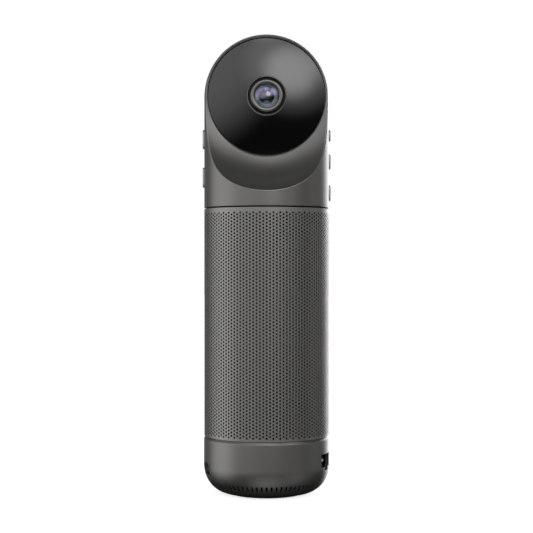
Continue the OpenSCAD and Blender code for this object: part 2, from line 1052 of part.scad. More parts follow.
module vent_slots() {
    r = fillet_r + fillet_w * cos(vent_angle);
    z = fillet_z - fillet_h * sin(vent_angle);
    tilt = atan2(sin(vent_angle) / fillet_h, cos(vent_angle) / fillet_w);
    for (i = [0 : vent_count - 1])
        rotate([0, 0, i * 360 / vent_count])
            translate([r, 0, z])
                rotate([0, tilt, 0])
                    cube([4 * base_inner, vent_w, vent_l], center = true);
}

module base_shell() {
    steps = 12;
    inside = fillet(base_inner, steps);
    color("dimgray")
        difference() {
            union() {
                rotate_extrude()
                    polygon(concat(
                        [[floor_r + 0.1, shell_bottom]],
                        fillet(0, steps),
                        [
                            [base_r, base_h - base_chamfer],
                            [base_r - base_chamfer, base_h],
                            [spigot_r, base_h],
                            [spigot_r, base_h + spigot_h],
                            [spigot_r - 2, base_h + spigot_h],
                            [spigot_r - 2, base_h],
                            [0, base_h],
                            [0, base_h - base_deck_t],
                            [base_r - base_inner, base_h - base_deck_t]
                        ],
                        [for (i = [steps : -1 : 0]) inside[i]],
                        [[floor_r + 0.1, shell_bottom + base_inner]]
                    ));
                at_base_bosses()
                    disc(base_boss_z, base_h - base_deck_t - base_boss_z + EPS, boss_r);
            }
            vent_slots();
            at_base_bosses()
                disc(0, 16, screw_hole_r);
            at_socket(JACK_AT, JACK_Z)
                jack_mouth_cutter(socket_front - 1, 0.4);
            at_socket(VIDEO_AT, VIDEO_Z)
                mouth(socket_front - 1, video_mouth + [0.8, 0.8]);
            at_socket(USB_AT, USB_Z)
                mouth(socket_front - 1, usb_mouth + [0.6, 0.6]);
            at_socket(POWER_AT, POWER_Z)
                rotate([0, 90, 0])
                    cylinder(r = power_mouth_r + 0.5, h = base_r);
        }
}

module base_plate() {
    color("dimgray")
        difference() {
            union() {
                disc(shell_bottom, base_plate_t, floor_r);
                disc(shell_bottom, 9, 7.5);
            }
            disc(0, 20, 5 + seat_gap);
            at_base_bosses() {
                disc(0, 5, screw_hole_r);
                disc(0, shell_bottom + screw_head_h + 0.1, counterbore_r);
            }
        }
}

module base_screws() {
    color("silver")
        at_base_bosses()
            screw(shell_bottom + screw_head_h + 0.1, 12);
}

module foot_ring() {
    color("black")
        tube(0, foot_h, floor_r + 2, floor_r - 2.6);
}

module tripod_insert() {
    color("goldenrod")
        tube(shell_bottom, 11, 5, tripod_r);
}

module port_board() {
    color("darkgreen")
        difference() {
            disc(port_board_top - board_t, board_t, port_board_r);
            disc(0, 20, 8.5);
            at_base_bosses()
                disc(0, 20, boss_r + 0.2);
        }
}

// A socket's housing around a mouth, out along +X, standing on the port board
module housing(z, depth, size, skin) {
    w = size[0] + 2 * skin;
    translate([socket_front - depth, -w / 2, port_board_top - z])
        cube([depth, w, z - port_board_top + size[1] / 2 + skin]);
}

module network_jack() {
    color("black")
        at_socket(JACK_AT, JACK_Z)
            union() {
                difference() {
                    housing(JACK_Z, 16, jack_mouth, 1.6);
                    jack_mouth_cutter(socket_front - 13, 0);
                }
                translate([socket_front - 13 - EPS, -4, 2.2])
                    cube([6, 8, 0.8]);
            }
}

module video_socket() {
    color("silver")
        at_socket(VIDEO_AT, VIDEO_Z)
            union() {
                difference() {
                    housing(VIDEO_Z, 11, video_mouth, 0.4);
                    mouth(socket_front - 10, video_mouth);
                }
                translate([socket_front - 10 - EPS, -5.5, -0.6])
                    cube([8.5, 11, 1.2]);
            }
}

module usb_socket() {
    color("silver")
        at_socket(USB_AT, USB_Z)
            union() {
                difference() {
                    housing(USB_Z, 8, usb_mouth, 0.4);
                    mouth(socket_front - 7, usb_mouth);
                }
                translate([socket_front - 7 - EPS, -3.2, -0.35])
                    cube([6, 6.4, 0.7]);
            }
}

module power_socket() {
    color("black")
        at_socket(POWER_AT, POWER_Z)
            union() {
                difference() {
                    housing(POWER_Z, 12, 2 * [power_mouth_r, power_mouth_r], 1.6);
                    translate([socket_front - 10, 0, 0])
                        rotate([0, 90, 0])
                            cylinder(r = power_mouth_r, h = base_r);
                }
                translate([socket_front - 10 - EPS, 0, 0])
                    rotate([0, 90, 0])
                        cylinder(r = 0.9, h = 8);
            }
}

// ---- The model -----------------------------------------------------------------------

head_shell();
lens_plate();
lens_bezel();
lens_gasket();
lens_barrel();
front_element();
second_element();
rear_element();
lens_mount();
ir_filter();
image_sensor();
sensor_board();
head_frame();
vision_board();
heat_sink();
left_key_board();
right_key_board();
key_switches();
key_left_upper();
key_left_lower();
key_right_upper();
key_right_middle();
key_right_lower();
head_base_plate();
head_screws();
pan_hub();
pan_gear();
bearing_inner_race();
bearing_balls();
bearing_outer_race();
motor_pinion();
pan_motor();
column_top_plate();
column_frame();
frame_screws();
twist_harness();
main_board();
mic_board();
microphones();
speaker_box();
speaker_basket();
speaker_surround();
speaker_cone();
voice_coil();
speaker_magnet();
passive_radiator();
radiator_surround();
sound_deflector();
acoustic_sleeve();
speaker_grille();
base_shell();
base_plate();
base_screws();
foot_ring();
tripod_insert();
port_board();
network_jack();
video_socket();
usb_socket();
power_socket();
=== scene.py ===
"""The looks of a tower conference camera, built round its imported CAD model.

Lengths are in metres, +Z is up and the lens looks along -Y. A piece turned about the lens
axis is drawn as pairs of side and forward: side is the distance from that axis, and
forward is the distance in front of the tower's own axis.
"""

import logging
import math
from contextlib import contextmanager
from dataclasses import dataclass
from enum import Enum
from typing import Callable, ClassVar, Iterator, Sequence

import bmesh
import bpy
import numpy as np
from mathutils import Matrix, Vector


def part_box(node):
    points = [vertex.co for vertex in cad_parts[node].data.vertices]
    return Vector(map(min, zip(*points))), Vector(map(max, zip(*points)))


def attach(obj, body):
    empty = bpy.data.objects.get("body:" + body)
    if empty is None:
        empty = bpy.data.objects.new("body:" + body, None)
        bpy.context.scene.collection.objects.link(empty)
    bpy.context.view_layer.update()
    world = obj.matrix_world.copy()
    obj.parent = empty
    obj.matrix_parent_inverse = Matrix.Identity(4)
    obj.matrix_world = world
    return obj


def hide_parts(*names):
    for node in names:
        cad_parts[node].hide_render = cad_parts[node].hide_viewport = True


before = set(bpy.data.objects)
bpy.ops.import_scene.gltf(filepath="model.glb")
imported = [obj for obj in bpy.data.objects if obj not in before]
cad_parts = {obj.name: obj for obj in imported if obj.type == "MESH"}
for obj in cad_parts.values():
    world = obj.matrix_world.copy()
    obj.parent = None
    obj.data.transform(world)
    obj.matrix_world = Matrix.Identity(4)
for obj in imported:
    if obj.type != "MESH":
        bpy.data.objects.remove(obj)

LOG = logging.getLogger("tower_camera")
MM = 0.001
WELD = 1e-6
HALVINGS = 60
Pair = tuple[float, float]
Colour = tuple[float, float, float]
Piece = bpy.types.Object
NodeSocket = bpy.types.NodeSocket
Masks = tuple[NodeSocket, NodeSocket]


# ---- Modelling by hand ---------------------------------------------------------------


def put_down() -> None:
    """Leaves edit mode and deselects every object."""
    if bpy.context.mode != "OBJECT":
        bpy.ops.object.mode_set(mode="OBJECT")
    bpy.ops.object.select_all(action="DESELECT")


def pick(*pieces: Piece) -> None:
    """Selects some pieces alone and makes the last one active.

    Args:
        pieces: The pieces to select.
    """
    put_down()
    for piece in pieces:
        piece.select_set(True)
        bpy.context.view_layer.objects.active = piece


@contextmanager
def editing(piece: Piece) -> Iterator[None]:
    """Holds a piece in edit mode with all of it selected.

    Args:
        piece: The piece to edit.

    Returns:
        A context in which the piece is in edit mode.
    """
    pick(piece)
    bpy.ops.object.mode_set(mode="EDIT")
    bpy.ops.mesh.select_mode(type="VERT")
    bpy.ops.mesh.select_all(action="SELECT")
    yield
    bpy.ops.object.mode_set(mode="OBJECT")


def choose(piece: Piece, kind: str, test: Callable[[object], bool]) -> None:
    """Selects, in edit mode, what passes a test.

    Args:
        piece: The piece being edited.
        kind: "verts" or "edges".
        test: Says whether an element is selected.
    """
    bpy.ops.mesh.select_mode(type={"verts": "VERT", "edges": "EDGE"}[kind])
    bpy.ops.mesh.select_all(action="DESELECT")
    mesh = bmesh.from_edit_mesh(piece.data)
    for element in getattr(mesh, kind):
        if test(element):
            element.select = True
    mesh.select_flush_mode()
    bmesh.update_edit_mesh(piece.data)


def weld(piece: Piece) -> Piece:
    """Merges a piece's doubles and points its faces outwards.

    Args:
        piece: The piece to mend.

    Returns:
        The piece.
    """
    with editing(piece):
        bpy.ops.mesh.remove_doubles(threshold=WELD)
        bpy.ops.mesh.normals_make_consistent(inside=False)
    return piece


def named(name: str) -> Piece:
    """Gives the primitive that was just added its name and lays its origin at the frame's.

    Args:
        name: The piece's name.

    Returns:
        The piece.
    """
    piece = bpy.context.object
    piece.name = piece.data.name = name
    pick(piece)
    bpy.ops.object.transform_apply(location=True, rotation=True, scale=True)
    return piece


def place(piece: Piece, matrix: Matrix) -> Piece:
    """Moves a piece by a matrix and applies it, so its origin stays at the frame's.

    Args:
        piece: The piece to move.
        matrix: Where it goes.

    Returns:
        The piece.
    """
    piece.matrix_world = matrix
    pick(piece)
    bpy.ops.object.transform_apply(location=True, rotation=True, scale=True)
    return piece


def modify(piece: Piece, kind: str, **settings: object) -> Piece:
    """Adds a modifier to a piece and applies it at once.

    Args:
        piece: The piece to change.
        kind: The modifier's type.
        settings: The modifier's properties.

    Returns:
        The piece.
    """
    pick(piece)
    modifier = piece.modifiers.new(kind.lower(), kind)
    for key, value in settings.items():
        setattr(modifier, key, value)
    bpy.ops.object.modifier_apply(modifier=modifier.name)
    return piece


def soften(
    piece: Piece, width: float, segments: int = 3, angle: float = 35.0, mitre: str = "MITER_ARC"
) -> Piece:
    """Rounds the edges of a piece that are sharper than an angle in degrees."""
    return modify(
        piece, "BEVEL", width=width, segments=segments, limit_method="ANGLE",
        angle_limit=math.radians(angle), miter_outer=mitre,
    )


def smooth(piece: Piece, angle: float = 30.0) -> Piece:
    """Shades a piece smooth across edges flatter than an angle in degrees."""
    pick(piece)
    bpy.ops.object.shade_smooth_by_angle(angle=math.radians(angle))
    return piece


def repeated(piece: Piece, count: int, step: tuple[float, float, float]) -> Piece:
    """Repeats a piece at a constant step and welds the neighbours."""
    return modify(
        piece, "ARRAY", count=count, use_relative_offset=False, use_constant_offset=True,
        constant_offset_displace=step, use_merge_vertices=True, merge_threshold=WELD,
    )


def flatten(piece: Piece) -> Piece:
    """Weights a smoothed piece's normals by face, so that its flat faces shade flat."""
    return modify(piece, "WEIGHTED_NORMAL", keep_sharp=True, weight=100)


def cut(piece: Piece, cutter: Piece) -> Piece:
    """Cuts a piece with another.

    Args:
        piece: The piece to cut.
        cutter: The piece that cuts it, which is used up.

    Returns:
        The cut piece.
    """
    modify(piece, "BOOLEAN", operation="DIFFERENCE", solver="EXACT", object=cutter)
    bpy.data.objects.remove(cutter)
    return piece


def join(name: str, pieces: Sequence[Piece]) -> Piece:
    """Joins shells into one piece.

    Args:
        name: The joined piece's name.
        pieces: The shells, which are used up.

    Returns:
        The joined piece.
    """
    pick(*pieces)
    bpy.ops.object.join()
    joined = bpy.context.object
    joined.name = joined.data.name = name
    return joined


def copied(piece: Piece, places: Sequence[Matrix]) -> list[Piece]:
    """Copies a piece to some places.

    Args:
        piece: The piece to copy, which is used up.
        places: A matrix for each copy.

    Returns:
        The copies, each with a mesh of its own.
    """
    copies = []
    for matrix in places:
        pick(piece)
        bpy.ops.object.duplicate(linked=False)
        copies.append(place(bpy.context.object, matrix))
    bpy.data.objects.remove(piece)
    return copies


def coordinates(piece: Piece) -> np.ndarray:
    """A piece's points as rows of X, Y and Z."""
    flat = np.empty(len(piece.data.vertices) * 3, np.float32)
    piece.data.vertices.foreach_get("co", flat)
    return flat.reshape(-1, 3)


def lay_out(piece: Piece, points: np.ndarray) -> None:
    """Moves a piece's points to new places."""
    piece.data.vertices.foreach_set("co", points.astype(np.float32).ravel())
    piece.data.update()


def face_towards(piece: Piece, face: bpy.types.MeshPolygon, direction: Vector) -> None:
    """Flips all the faces of an open piece if one of them faces away from a direction."""
    if face.normal.dot(direction) < 0:
        with editing(piece):
            bpy.ops.mesh.flip_normals()


def drawn(name: str, points: Sequence[Vector]) -> Piece:
    """Draws a line by extruding one vertex from point to point.

    Args:
        name: The piece's name.
        points: The line's points.

    Returns:
        The line.
    """
    put_down()
    bpy.ops.mesh.primitive_plane_add(size=MM, location=points[0])
    piece = named(name)
    with editing(piece):
        bpy.ops.mesh.merge(type="CENTER")
        for here, there in zip(points, points[1:]):
            bpy.ops.mesh.extrude_region_move(TRANSFORM_OT_translate={"value": there - here})
    return piece


class Axis(Enum):
    """The axis that a piece is turned about."""

    TOWER = "tower"
    LENS = "lens"


def turned(name: str, outline: Sequence[Pair], axis: Axis, lens_z: float = 0.0, steps: int = 128) -> Piece:
    """Turns a closed outline into a solid ring or disc.

    Args:
        name: The piece's name.
        outline: Pairs of radius and height, or of side and forward about the lens.
        axis: What it is turned about.
        lens_z: Height of the lens axis, for a piece that is turned about it.
        steps: Facets round the circle.

    Returns:
        The turned piece, closed and welded.
    """
    if axis is Axis.TOWER:
        points = [Vector((r, 0, z)) for r, z in outline]
        centre, direction = (0, 0, 0), (0, 0, 1)
    else:
        points = [Vector((r, -f, lens_z)) for r, f in outline]
        centre, direction = (0, 0, lens_z), (0, 1, 0)
    piece = drawn(name, [*points, points[0]])
    with editing(piece):
        bpy.ops.mesh.remove_doubles(threshold=WELD)
        bpy.ops.mesh.select_all(action="SELECT")
        bpy.ops.mesh.spin(steps=steps, angle=2 * math.pi, center=centre, axis=direction)
        choose(piece, "edges", lambda e: not e.link_faces)
        bpy.ops.mesh.delete(type="EDGE")
    return weld(piece)


def arc(
    centre: Pair, radius: float, start: float, end: float, steps: int, squeeze: float = 1.0
) -> list[Pair]:
    """Draws the points of an arc.

    Args:
        centre: Its centre.
        radius: Its radius along the first axis.
        start: Its first angle in degrees.
        end: Its last angle.
        steps: Chords in it.
        squeeze: Its second axis as a share of the first.

    Returns:
        The points, both ends included.
    """
    turns = (math.radians(start + (end - start) * i / steps) for i in range(steps + 1))
    return [
        (centre[0] + radius * math.cos(t), centre[1] + squeeze * radius * math.sin(t)) for t in turns
    ]


def rounded(outline: Sequence[Pair], corners: dict[int, float], steps: int = 4) -> list[Pair]:
    """Rounds some corners of an outline.

    Args:
        outline: The outline's points.
        corners: Radius for each corner that is rounded, by its place in the outline.
        steps: Chords in a rounded corner.

    Returns:
        The outline with a support point just before and after each rounded corner, so
        that a broad face beside it keeps its own shading.
    """
    support = 0.3
    made: list[Pair] = []
    for i, point in enumerate(outline):
        if i not in corners:
            made.append(point)
            continue
        p = Vector(point)
        before = (Vector(outline[i - 1]) - p).normalized()
        after = (Vector(outline[(i + 1) % len(outline)]) - p).normalized()
        r = corners[i]
        a, b = p + before * r, p + after * r
        made.append(tuple(a + before * support * r))
        for k in range(steps + 1):
            t = k / steps
            made.append(tuple(a * (1 - t) ** 2 + p * 2 * t * (1 - t) + b * t**2))
        made.append(tuple(b + after * support * r))
    return made


def pill(name: str, width: float, length: float, depth: float, sides: int = 24) -> Piece:
    """A bar with round ends, its middle at the origin.

    Args:
        name: The piece's name.
        width: Its width along Y.
        length: Its length along Z, round ends included.
        depth: Its depth along X.
        sides: Facets round the two ends together.

    Returns:
        The bar.
    """
    put_down()
    bpy.ops.mesh.primitive_circle_add(vertices=sides, radius=width / 2, fill_type="NGON")
    piece = named(name)
    straight = (length - width) / 2
    with editing(piece):
        for side in (-1, 1):
            choose(piece, "verts", lambda v: v.co.y * side > WELD)
            bpy.ops.transform.translate(value=(0, side * straight, 0))
        bpy.ops.mesh.select_all(action="SELECT")
        bpy.ops.transform.translate(value=(0, 0, -depth / 2))
        bpy.ops.mesh.extrude_region_move(TRANSFORM_OT_translate={"value": (0, 0, depth)})
    stand = Matrix(((0, 0, 1, 0), (1, 0, 0, 0), (0, 1, 0, 0), (0, 0, 0, 1)))
    return weld(place(piece, stand))


def rod(name: str, width: float, depth: float, sides: int) -> Piece:
    """A round bar along X, its middle at the origin."""
    return pill(name, width, width + WELD, depth, sides)


def block(name: str, low: Sequence[float], high: Sequence[float], edge: float = 0.0) -> Piece:
    """A box between two corners.

    Args:
        name: The piece's name.
        low: Its lowest corner.
        high: Its highest corner.
        edge: Radius of its edges.

    Returns:
        The box.
    """
    put_down()
    low, high = Vector(low), Vector(high)
    bpy.ops.mesh.primitive_cube_add(size=1, location=(low + high) / 2, scale=high - low)
    piece = named(name)
    return soften(piece, edge, 2) if edge else piece


def round_tower(direction: float, z: float = 0.0) -> Matrix:
    """Turns local +X to a direction round the tower, in degrees, at a height."""
    return Matrix.Translation((0, 0, z)) @ Matrix.Rotation(math.radians(direction), 4, "Z")


# ---- Finishes ------------------------------------------------------------------------


class Pattern(Enum):
    """The surface effects, each a node group that is built once."""

    GRAIN = "moulded grain"
    RINGS = "turning rings"
    BRUSHED = "brushed lines"
    WEAVE = "woven cloth"
    TRACKS = "board tracks"


@dataclass(frozen=True)
class Finish:
    """A finish: its colours, its gloss and the effect that varies it.

    Attributes:
        name: The material's name.
        colour: Main linear colour.
        second: Colour where the effect's mask is full.
        rough: Roughness where the mask is empty and where it is full.
        metal: Metallic value.
        pattern: The surface effect.
        scale: Features of the effect per metre, or rings per metre.
        bump: Depth of the relief in metres.
        clear: Transmission weight, for glass.
        ior: Index of refraction.
        tint: Tint of the reflections.
        gloss: Specular level.
        coat: Weight of a clear coat.
    """

    name: str
    colour: Colour
    second: Colour
    rough: Pair
    metal: float = 0.0
    pattern: Pattern = Pattern.GRAIN
    scale: float = 3000.0
    bump: float = 0.00001
    clear: float = 0.0
    ior: float = 1.5
    tint: Colour = (1.0, 1.0, 1.0)
    gloss: float = 0.5
    coat: float = 0.0


def shades(light: float, dark: float, hue: Colour = (1.0, 1.0, 1.0)) -> dict[str, Colour]:
    """A finish's two colours, from two brightnesses of one hue."""
    return {"colour": tuple(light * c for c in hue), "second": tuple(dark * c for c in hue)}


WARM = (1.0, 0.99, 0.955)
GLASS = {"rough": (0.01, 0.02), "bump": 0.0, "clear": 1.0, "scale": 80.0}
BRUSHED = {"metal": 1.0, "pattern": Pattern.BRUSHED}
PAINT = Finish(
    "satin_paint", **shades(0.20, 0.185, WARM), rough=(0.36, 0.44), metal=0.85, bump=0.000004
)
GRILLE_PAINT = Finish(
    "grille_paint", **shades(0.27, 0.25, WARM), rough=(0.38, 0.46), metal=0.85, bump=0.000004
)
KEY_PAINT = Finish("key_paint", **shades(0.42, 0.38, WARM), rough=(0.34, 0.40), metal=0.8, bump=0.000003)
# Painted light: the head's satin paint made lighter, so the base looks lit from the front.
BASE_PAINT_WITH_PAINTED_LIGHT = Finish(
    "base_paint", **shades(0.215, 0.20, WARM), rough=(0.36, 0.44), metal=0.85, bump=0.000004
)
GLOSS_BLACK = Finish(
    "lens_gloss", **shades(0.004, 0.006), rough=(0.09, 0.13), scale=60.0, bump=0.0, ior=1.75, gloss=0.5
)
RING_METAL = Finish(
    "bezel_metal", **shades(0.17, 0.13, WARM), rough=(0.26, 0.34), metal=1.0,
    pattern=Pattern.RINGS, scale=6000.0,
)
BARREL_METAL = Finish(
    "barrel_metal", **shades(0.20, 0.15, WARM), rough=(0.28, 0.36), metal=0.9,
    pattern=Pattern.RINGS, scale=9000.0,
)
MOAT_BLACK = Finish(
    "moat_black", **shades(0.008, 0.014), rough=(0.5, 0.6), pattern=Pattern.RINGS, scale=5000.0
)
# Painted light: a pale blue-grey on the retainer stands in for the lit blue-grey glow seen low in the lens.
RETAINER_PAINTED_LIGHT = Finish(
    "retainer_painted_light", **shades(0.60, 0.55, (0.70, 0.95, 1.12)), rough=(0.45, 0.55),
    pattern=Pattern.RINGS,
)
FRONT_GLASS = Finish(
    "coated_glass", **shades(1.0, 0.98, (0.97, 0.98, 1.0)), **GLASS, ior=2.0,
    tint=(0.66, 0.55, 1.0), gloss=1.0,
)
SECOND_GLASS = Finish(
    "second_glass", **shades(1.0, 0.98, (0.95, 0.97, 1.0)), **GLASS, ior=1.7, tint=(1.0, 0.9, 0.6)
)
INNER_GLASS = Finish(
    "inner_glass", **shades(0.90, 0.86, (0.80, 0.80, 1.0)), **GLASS, ior=1.6,
    tint=(0.6, 0.7, 1.0), gloss=0.8,
)
FILTER_GLASS = Finish(
    "filter_glass", **shades(0.75, 0.7, (1.0, 0.6, 0.7)), rough=(0.02, 0.03), bump=0.0, clear=1.0, scale=80.0
)
CHIP = Finish(
    "chip", **shades(0.05, 0.09, (0.9, 1.0, 1.1)), rough=(0.3, 0.4), pattern=Pattern.TRACKS,
    scale=1500.0,
)
BOARD = Finish(
    "board", colour=(0.010, 0.055, 0.030), second=(0.035, 0.16, 0.08), rough=(0.35, 0.5),
    pattern=Pattern.TRACKS, scale=420.0, bump=0.00003,
)
CAST_METAL = Finish("frame_metal", **shades(0.55, 0.48), rough=(0.4, 0.55), metal=1.0, scale=1600.0)
SINK_METAL = Finish(
    "sink_metal", **shades(0.72, 0.64), rough=(0.3, 0.42), **BRUSHED, scale=2500.0
)
STEEL = Finish("steel", **shades(0.60, 0.52), rough=(0.22, 0.34), **BRUSHED, scale=3500.0)
BRASS = Finish(
    "brass", colour=(0.72, 0.50, 0.20), second=(0.60, 0.40, 0.15), rough=(0.22, 0.32), **BRUSHED
)
COPPER = Finish(
    "copper", colour=(0.72, 0.30, 0.14), second=(0.55, 0.20, 0.09), rough=(0.3, 0.4), **BRUSHED,
    scale=5000.0,
)
MAGNET_METAL = Finish("magnet_metal", **shades(0.42, 0.36), rough=(0.3, 0.42), metal=1.0, scale=1200.0)
GEAR_PLASTIC = Finish(
    "gear_plastic", **shades(0.72, 0.66, (1.0, 0.96, 0.86)), rough=(0.45, 0.55), scale=1800.0
)
DARK_PLASTIC = Finish("dark_plastic", **shades(0.022, 0.034), rough=(0.5, 0.62), scale=2600.0)
GROOVE_BLACK = Finish("groove_black", **shades(0.010, 0.016), rough=(0.55, 0.65), scale=2600.0)
UNDERSIDE = Finish("base_plate_plastic", **shades(0.026, 0.038), rough=(0.5, 0.6), scale=2200.0)
RUBBER = Finish("rubber", **shades(0.016, 0.024), rough=(0.7, 0.82), scale=1500.0, bump=0.00002)
FOOT_RUBBER = Finish("foot_rubber", **shades(0.020, 0.030), rough=(0.72, 0.84), scale=1300.0, bump=0.00002)
CABLE_JACKET = Finish(
    "cable_jacket", **shades(0.02, 0.05), rough=(0.5, 0.7), pattern=Pattern.WEAVE, scale=1200.0, bump=0.0001
)
CONE_PAPER = Finish("cone_paper", **shades(0.05, 0.085), rough=(0.75, 0.9), scale=900.0, bump=0.00005)
BLACK_CLOTH = Finish(
    "black_cloth", **shades(0.010, 0.030), rough=(0.8, 0.95), pattern=Pattern.WEAVE, scale=2200.0, bump=0.0001
)
SOCKET_BLACK = Finish("socket_black", **shades(0.012, 0.020), rough=(0.42, 0.52), scale=2400.0)
SOCKET_METAL = Finish(
    "socket_metal", **shades(0.30, 0.24), rough=(0.3, 0.42), **BRUSHED, scale=4000.0
)
GREY_PLASTIC = Finish("grey_plastic", **shades(0.30, 0.26), rough=(0.4, 0.5), scale=2400.0)
CONTACT_GOLD = Finish(
    "contact_gold", colour=(0.83, 0.62, 0.28), second=(0.72, 0.52, 0.22), rough=(0.2, 0.3),
    **BRUSHED, scale=4000.0,
)


class Graph:
    """A node tree while it is laid out."""

    def __init__(self, tree: bpy.types.NodeTree) -> None:
        """Takes a tree and clears it."""
        self.tree = tree
        tree.nodes.clear()

    def add(self, kind: str, **settings: object) -> bpy.types.Node:
        """Adds a node and sets its properties."""
        node = self.tree.nodes.new(kind)
        for key, value in settings.items():
            setattr(node, key, value)
        return node

    def link(self, source: NodeSocket, target: NodeSocket) -> None:
        """Joins an output to an input."""
        self.tree.links.new(source, target)

    def math(self, operation: str, *values: object) -> NodeSocket:
        """Adds a Math node.

        Args:
            operation: What it works out.
            values: Its inputs, each an output of another node or a number.

        Returns:
            Its output.
        """
        node = self.add("ShaderNodeMath", operation=operation)
        for socket, value in zip(node.inputs, values):
            if isinstance(value, NodeSocket):
                self.link(value, socket)
            else:
                socket.default_value = value
        return node.outputs[0]


class Effects:
    """The shared effects. Each puts out a mask and a height, both from 0 to 1."""

    DRIFT_SCALE = 45.0
    BRUSH_STRETCH = (1.0, 1.0, 0.04)
    THREADS_ROUND = 460.0
    THREAD_SHARE = 0.8
    PAD_SIZE = 0.33
    PAD_SHARE = 0.7
    MASK_SCALE = 900.0

    def __init__(self, lens_z: float) -> None:
        """Keeps the height of the lens axis, which the turning rings are centred on."""
        self.lens_z = lens_z
        self.built: dict[Pattern, bpy.types.NodeTree] = {}

    def group(self, pattern: Pattern) -> bpy.types.NodeTree:
        """Builds an effect's node group, or finds it if it is built.

        Args:
            pattern: The effect.

        Returns:
            Its node group.
        """
        if pattern not in self.built:
            tree = bpy.data.node_groups.new(pattern.value.replace(" ", "_"), "ShaderNodeTree")
            tree.interface.new_socket("Scale", in_out="INPUT", socket_type="NodeSocketFloat")
            tree.interface.new_socket("Mask", in_out="OUTPUT", socket_type="NodeSocketFloat")
            tree.interface.new_socket("Height", in_out="OUTPUT", socket_type="NodeSocketFloat")
            graph = Graph(tree)
            scale = graph.add("NodeGroupInput").outputs["Scale"]
            place_at = graph.add("ShaderNodeTexCoord").outputs["Object"]
            mask, height = getattr(self, pattern.name.lower())(graph, scale, place_at)
            end = graph.add("NodeGroupOutput")
            graph.link(mask, end.inputs["Mask"])
            graph.link(height, end.inputs["Height"])
            self.built[pattern] = tree
        return self.built[pattern]

    @staticmethod
    def noise(graph: Graph, place_at: NodeSocket, scale: object, detail: float = 2.0) -> NodeSocket:
        """Adds a noise.

        Args:
            graph: The effect's graph.
            place_at: The coordinates that it is laid on.
            scale: Its scale, a node's output or a number.
            detail: How many finer layers it has.

        Returns:
            The noise, from 0 to 1.
        """
        node = graph.add("ShaderNodeTexNoise")
        node.inputs["Detail"].default_value = detail
        graph.link(place_at, node.inputs["Vector"])
        if isinstance(scale, NodeSocket):
            graph.link(scale, node.inputs["Scale"])
        else:
            node.inputs["Scale"].default_value = scale
        return node.outputs["Fac"]

    @staticmethod
    def blend(graph: Graph, first: NodeSocket, second: NodeSocket, share: float) -> NodeSocket:
        """Mixes two masks, of which the first has a share."""
        return graph.math("MULTIPLY_ADD", first, share, graph.math("MULTIPLY", second, 1 - share))

    def grain(self, graph: Graph, scale: NodeSocket, place_at: NodeSocket) -> Masks:
        """A fine texture whose tone drifts slowly over the piece."""
        fine = self.noise(graph, place_at, scale)
        broad = self.noise(graph, place_at, self.DRIFT_SCALE, 1.0)
        return self.blend(graph, fine, broad, 0.5), fine

    def rings(self, graph: Graph, scale: NodeSocket, place_at: NodeSocket) -> Masks:
        """Fine rings left by turning, about the lens axis.

        Args:
            graph: The effect's graph.
            scale: Its features per metre.
            place_at: The coordinates that it is laid on.

        Returns:
            The mask and the height.
        """
        parts = graph.add("ShaderNodeSeparateXYZ")
        graph.link(place_at, parts.inputs[0])
        up = graph.math("SUBTRACT", parts.outputs["Z"], self.lens_z)
        squares = [graph.math("POWER", value, 2.0) for value in (parts.outputs["X"], up)]
        side = graph.math("SQRT", graph.math("ADD", *squares))
        line = graph.add("ShaderNodeTexNoise", noise_dimensions="1D")
        graph.link(graph.math("MULTIPLY", side, scale), line.inputs["W"])
        line.inputs["Scale"].default_value = 1.0
        return line.outputs["Fac"], line.outputs["Fac"]

    def brushed(self, graph: Graph, scale: NodeSocket, place_at: NodeSocket) -> Masks:
        """Fine lines along the tower.

        Args:
            graph: The effect's graph.
            scale: Its features per metre.
            place_at: The coordinates that it is laid on.

        Returns:
            The mask and the height.
        """
        stretch = graph.add("ShaderNodeMapping")
        stretch.inputs["Scale"].default_value = self.BRUSH_STRETCH
        graph.link(place_at, stretch.inputs["Vector"])
        lines = self.noise(graph, stretch.outputs["Vector"], scale)
        return lines, lines

    def weave(self, graph: Graph, scale: NodeSocket, place_at: NodeSocket) -> Masks:
        """A plain weave wrapped round the tower's axis.

        Args:
            graph: The effect's graph.
            scale: Its features per metre.
            place_at: The coordinates that it is laid on.

        Returns:
            The mask and the height.
        """
        parts = graph.add("ShaderNodeSeparateXYZ")
        graph.link(place_at, parts.inputs[0])
        turn = graph.math("ARCTAN2", parts.outputs["Y"], parts.outputs["X"])
        warp = graph.math("SINE", graph.math("MULTIPLY", turn, self.THREADS_ROUND / 2))
        pitch = graph.math("MULTIPLY", scale, math.pi)
        weft = graph.math("SINE", graph.math("MULTIPLY", parts.outputs["Z"], pitch))
        over = graph.math("MULTIPLY_ADD", graph.math("MULTIPLY", warp, weft), 0.5, 0.5)
        fuzz = self.noise(graph, place_at, scale)
        return self.blend(graph, over, fuzz, self.THREAD_SHARE), over

    def tracks(self, graph: Graph, scale: NodeSocket, place_at: NodeSocket) -> Masks:
        """Straight tracks and pads under a board's solder mask.

        Args:
            graph: The effect's graph.
            scale: Its features per metre.
            place_at: The coordinates that it is laid on.

        Returns:
            The mask and the height.
        """
        cells = graph.add("ShaderNodeTexVoronoi", distance="CHEBYCHEV", feature="F1")
        graph.link(place_at, cells.inputs["Vector"])
        graph.link(scale, cells.inputs["Scale"])
        edge = graph.math("GREATER_THAN", cells.outputs["Distance"], self.PAD_SIZE)
        speckle = self.noise(graph, place_at, self.MASK_SCALE)
        return self.blend(graph, edge, speckle, self.PAD_SHARE), edge


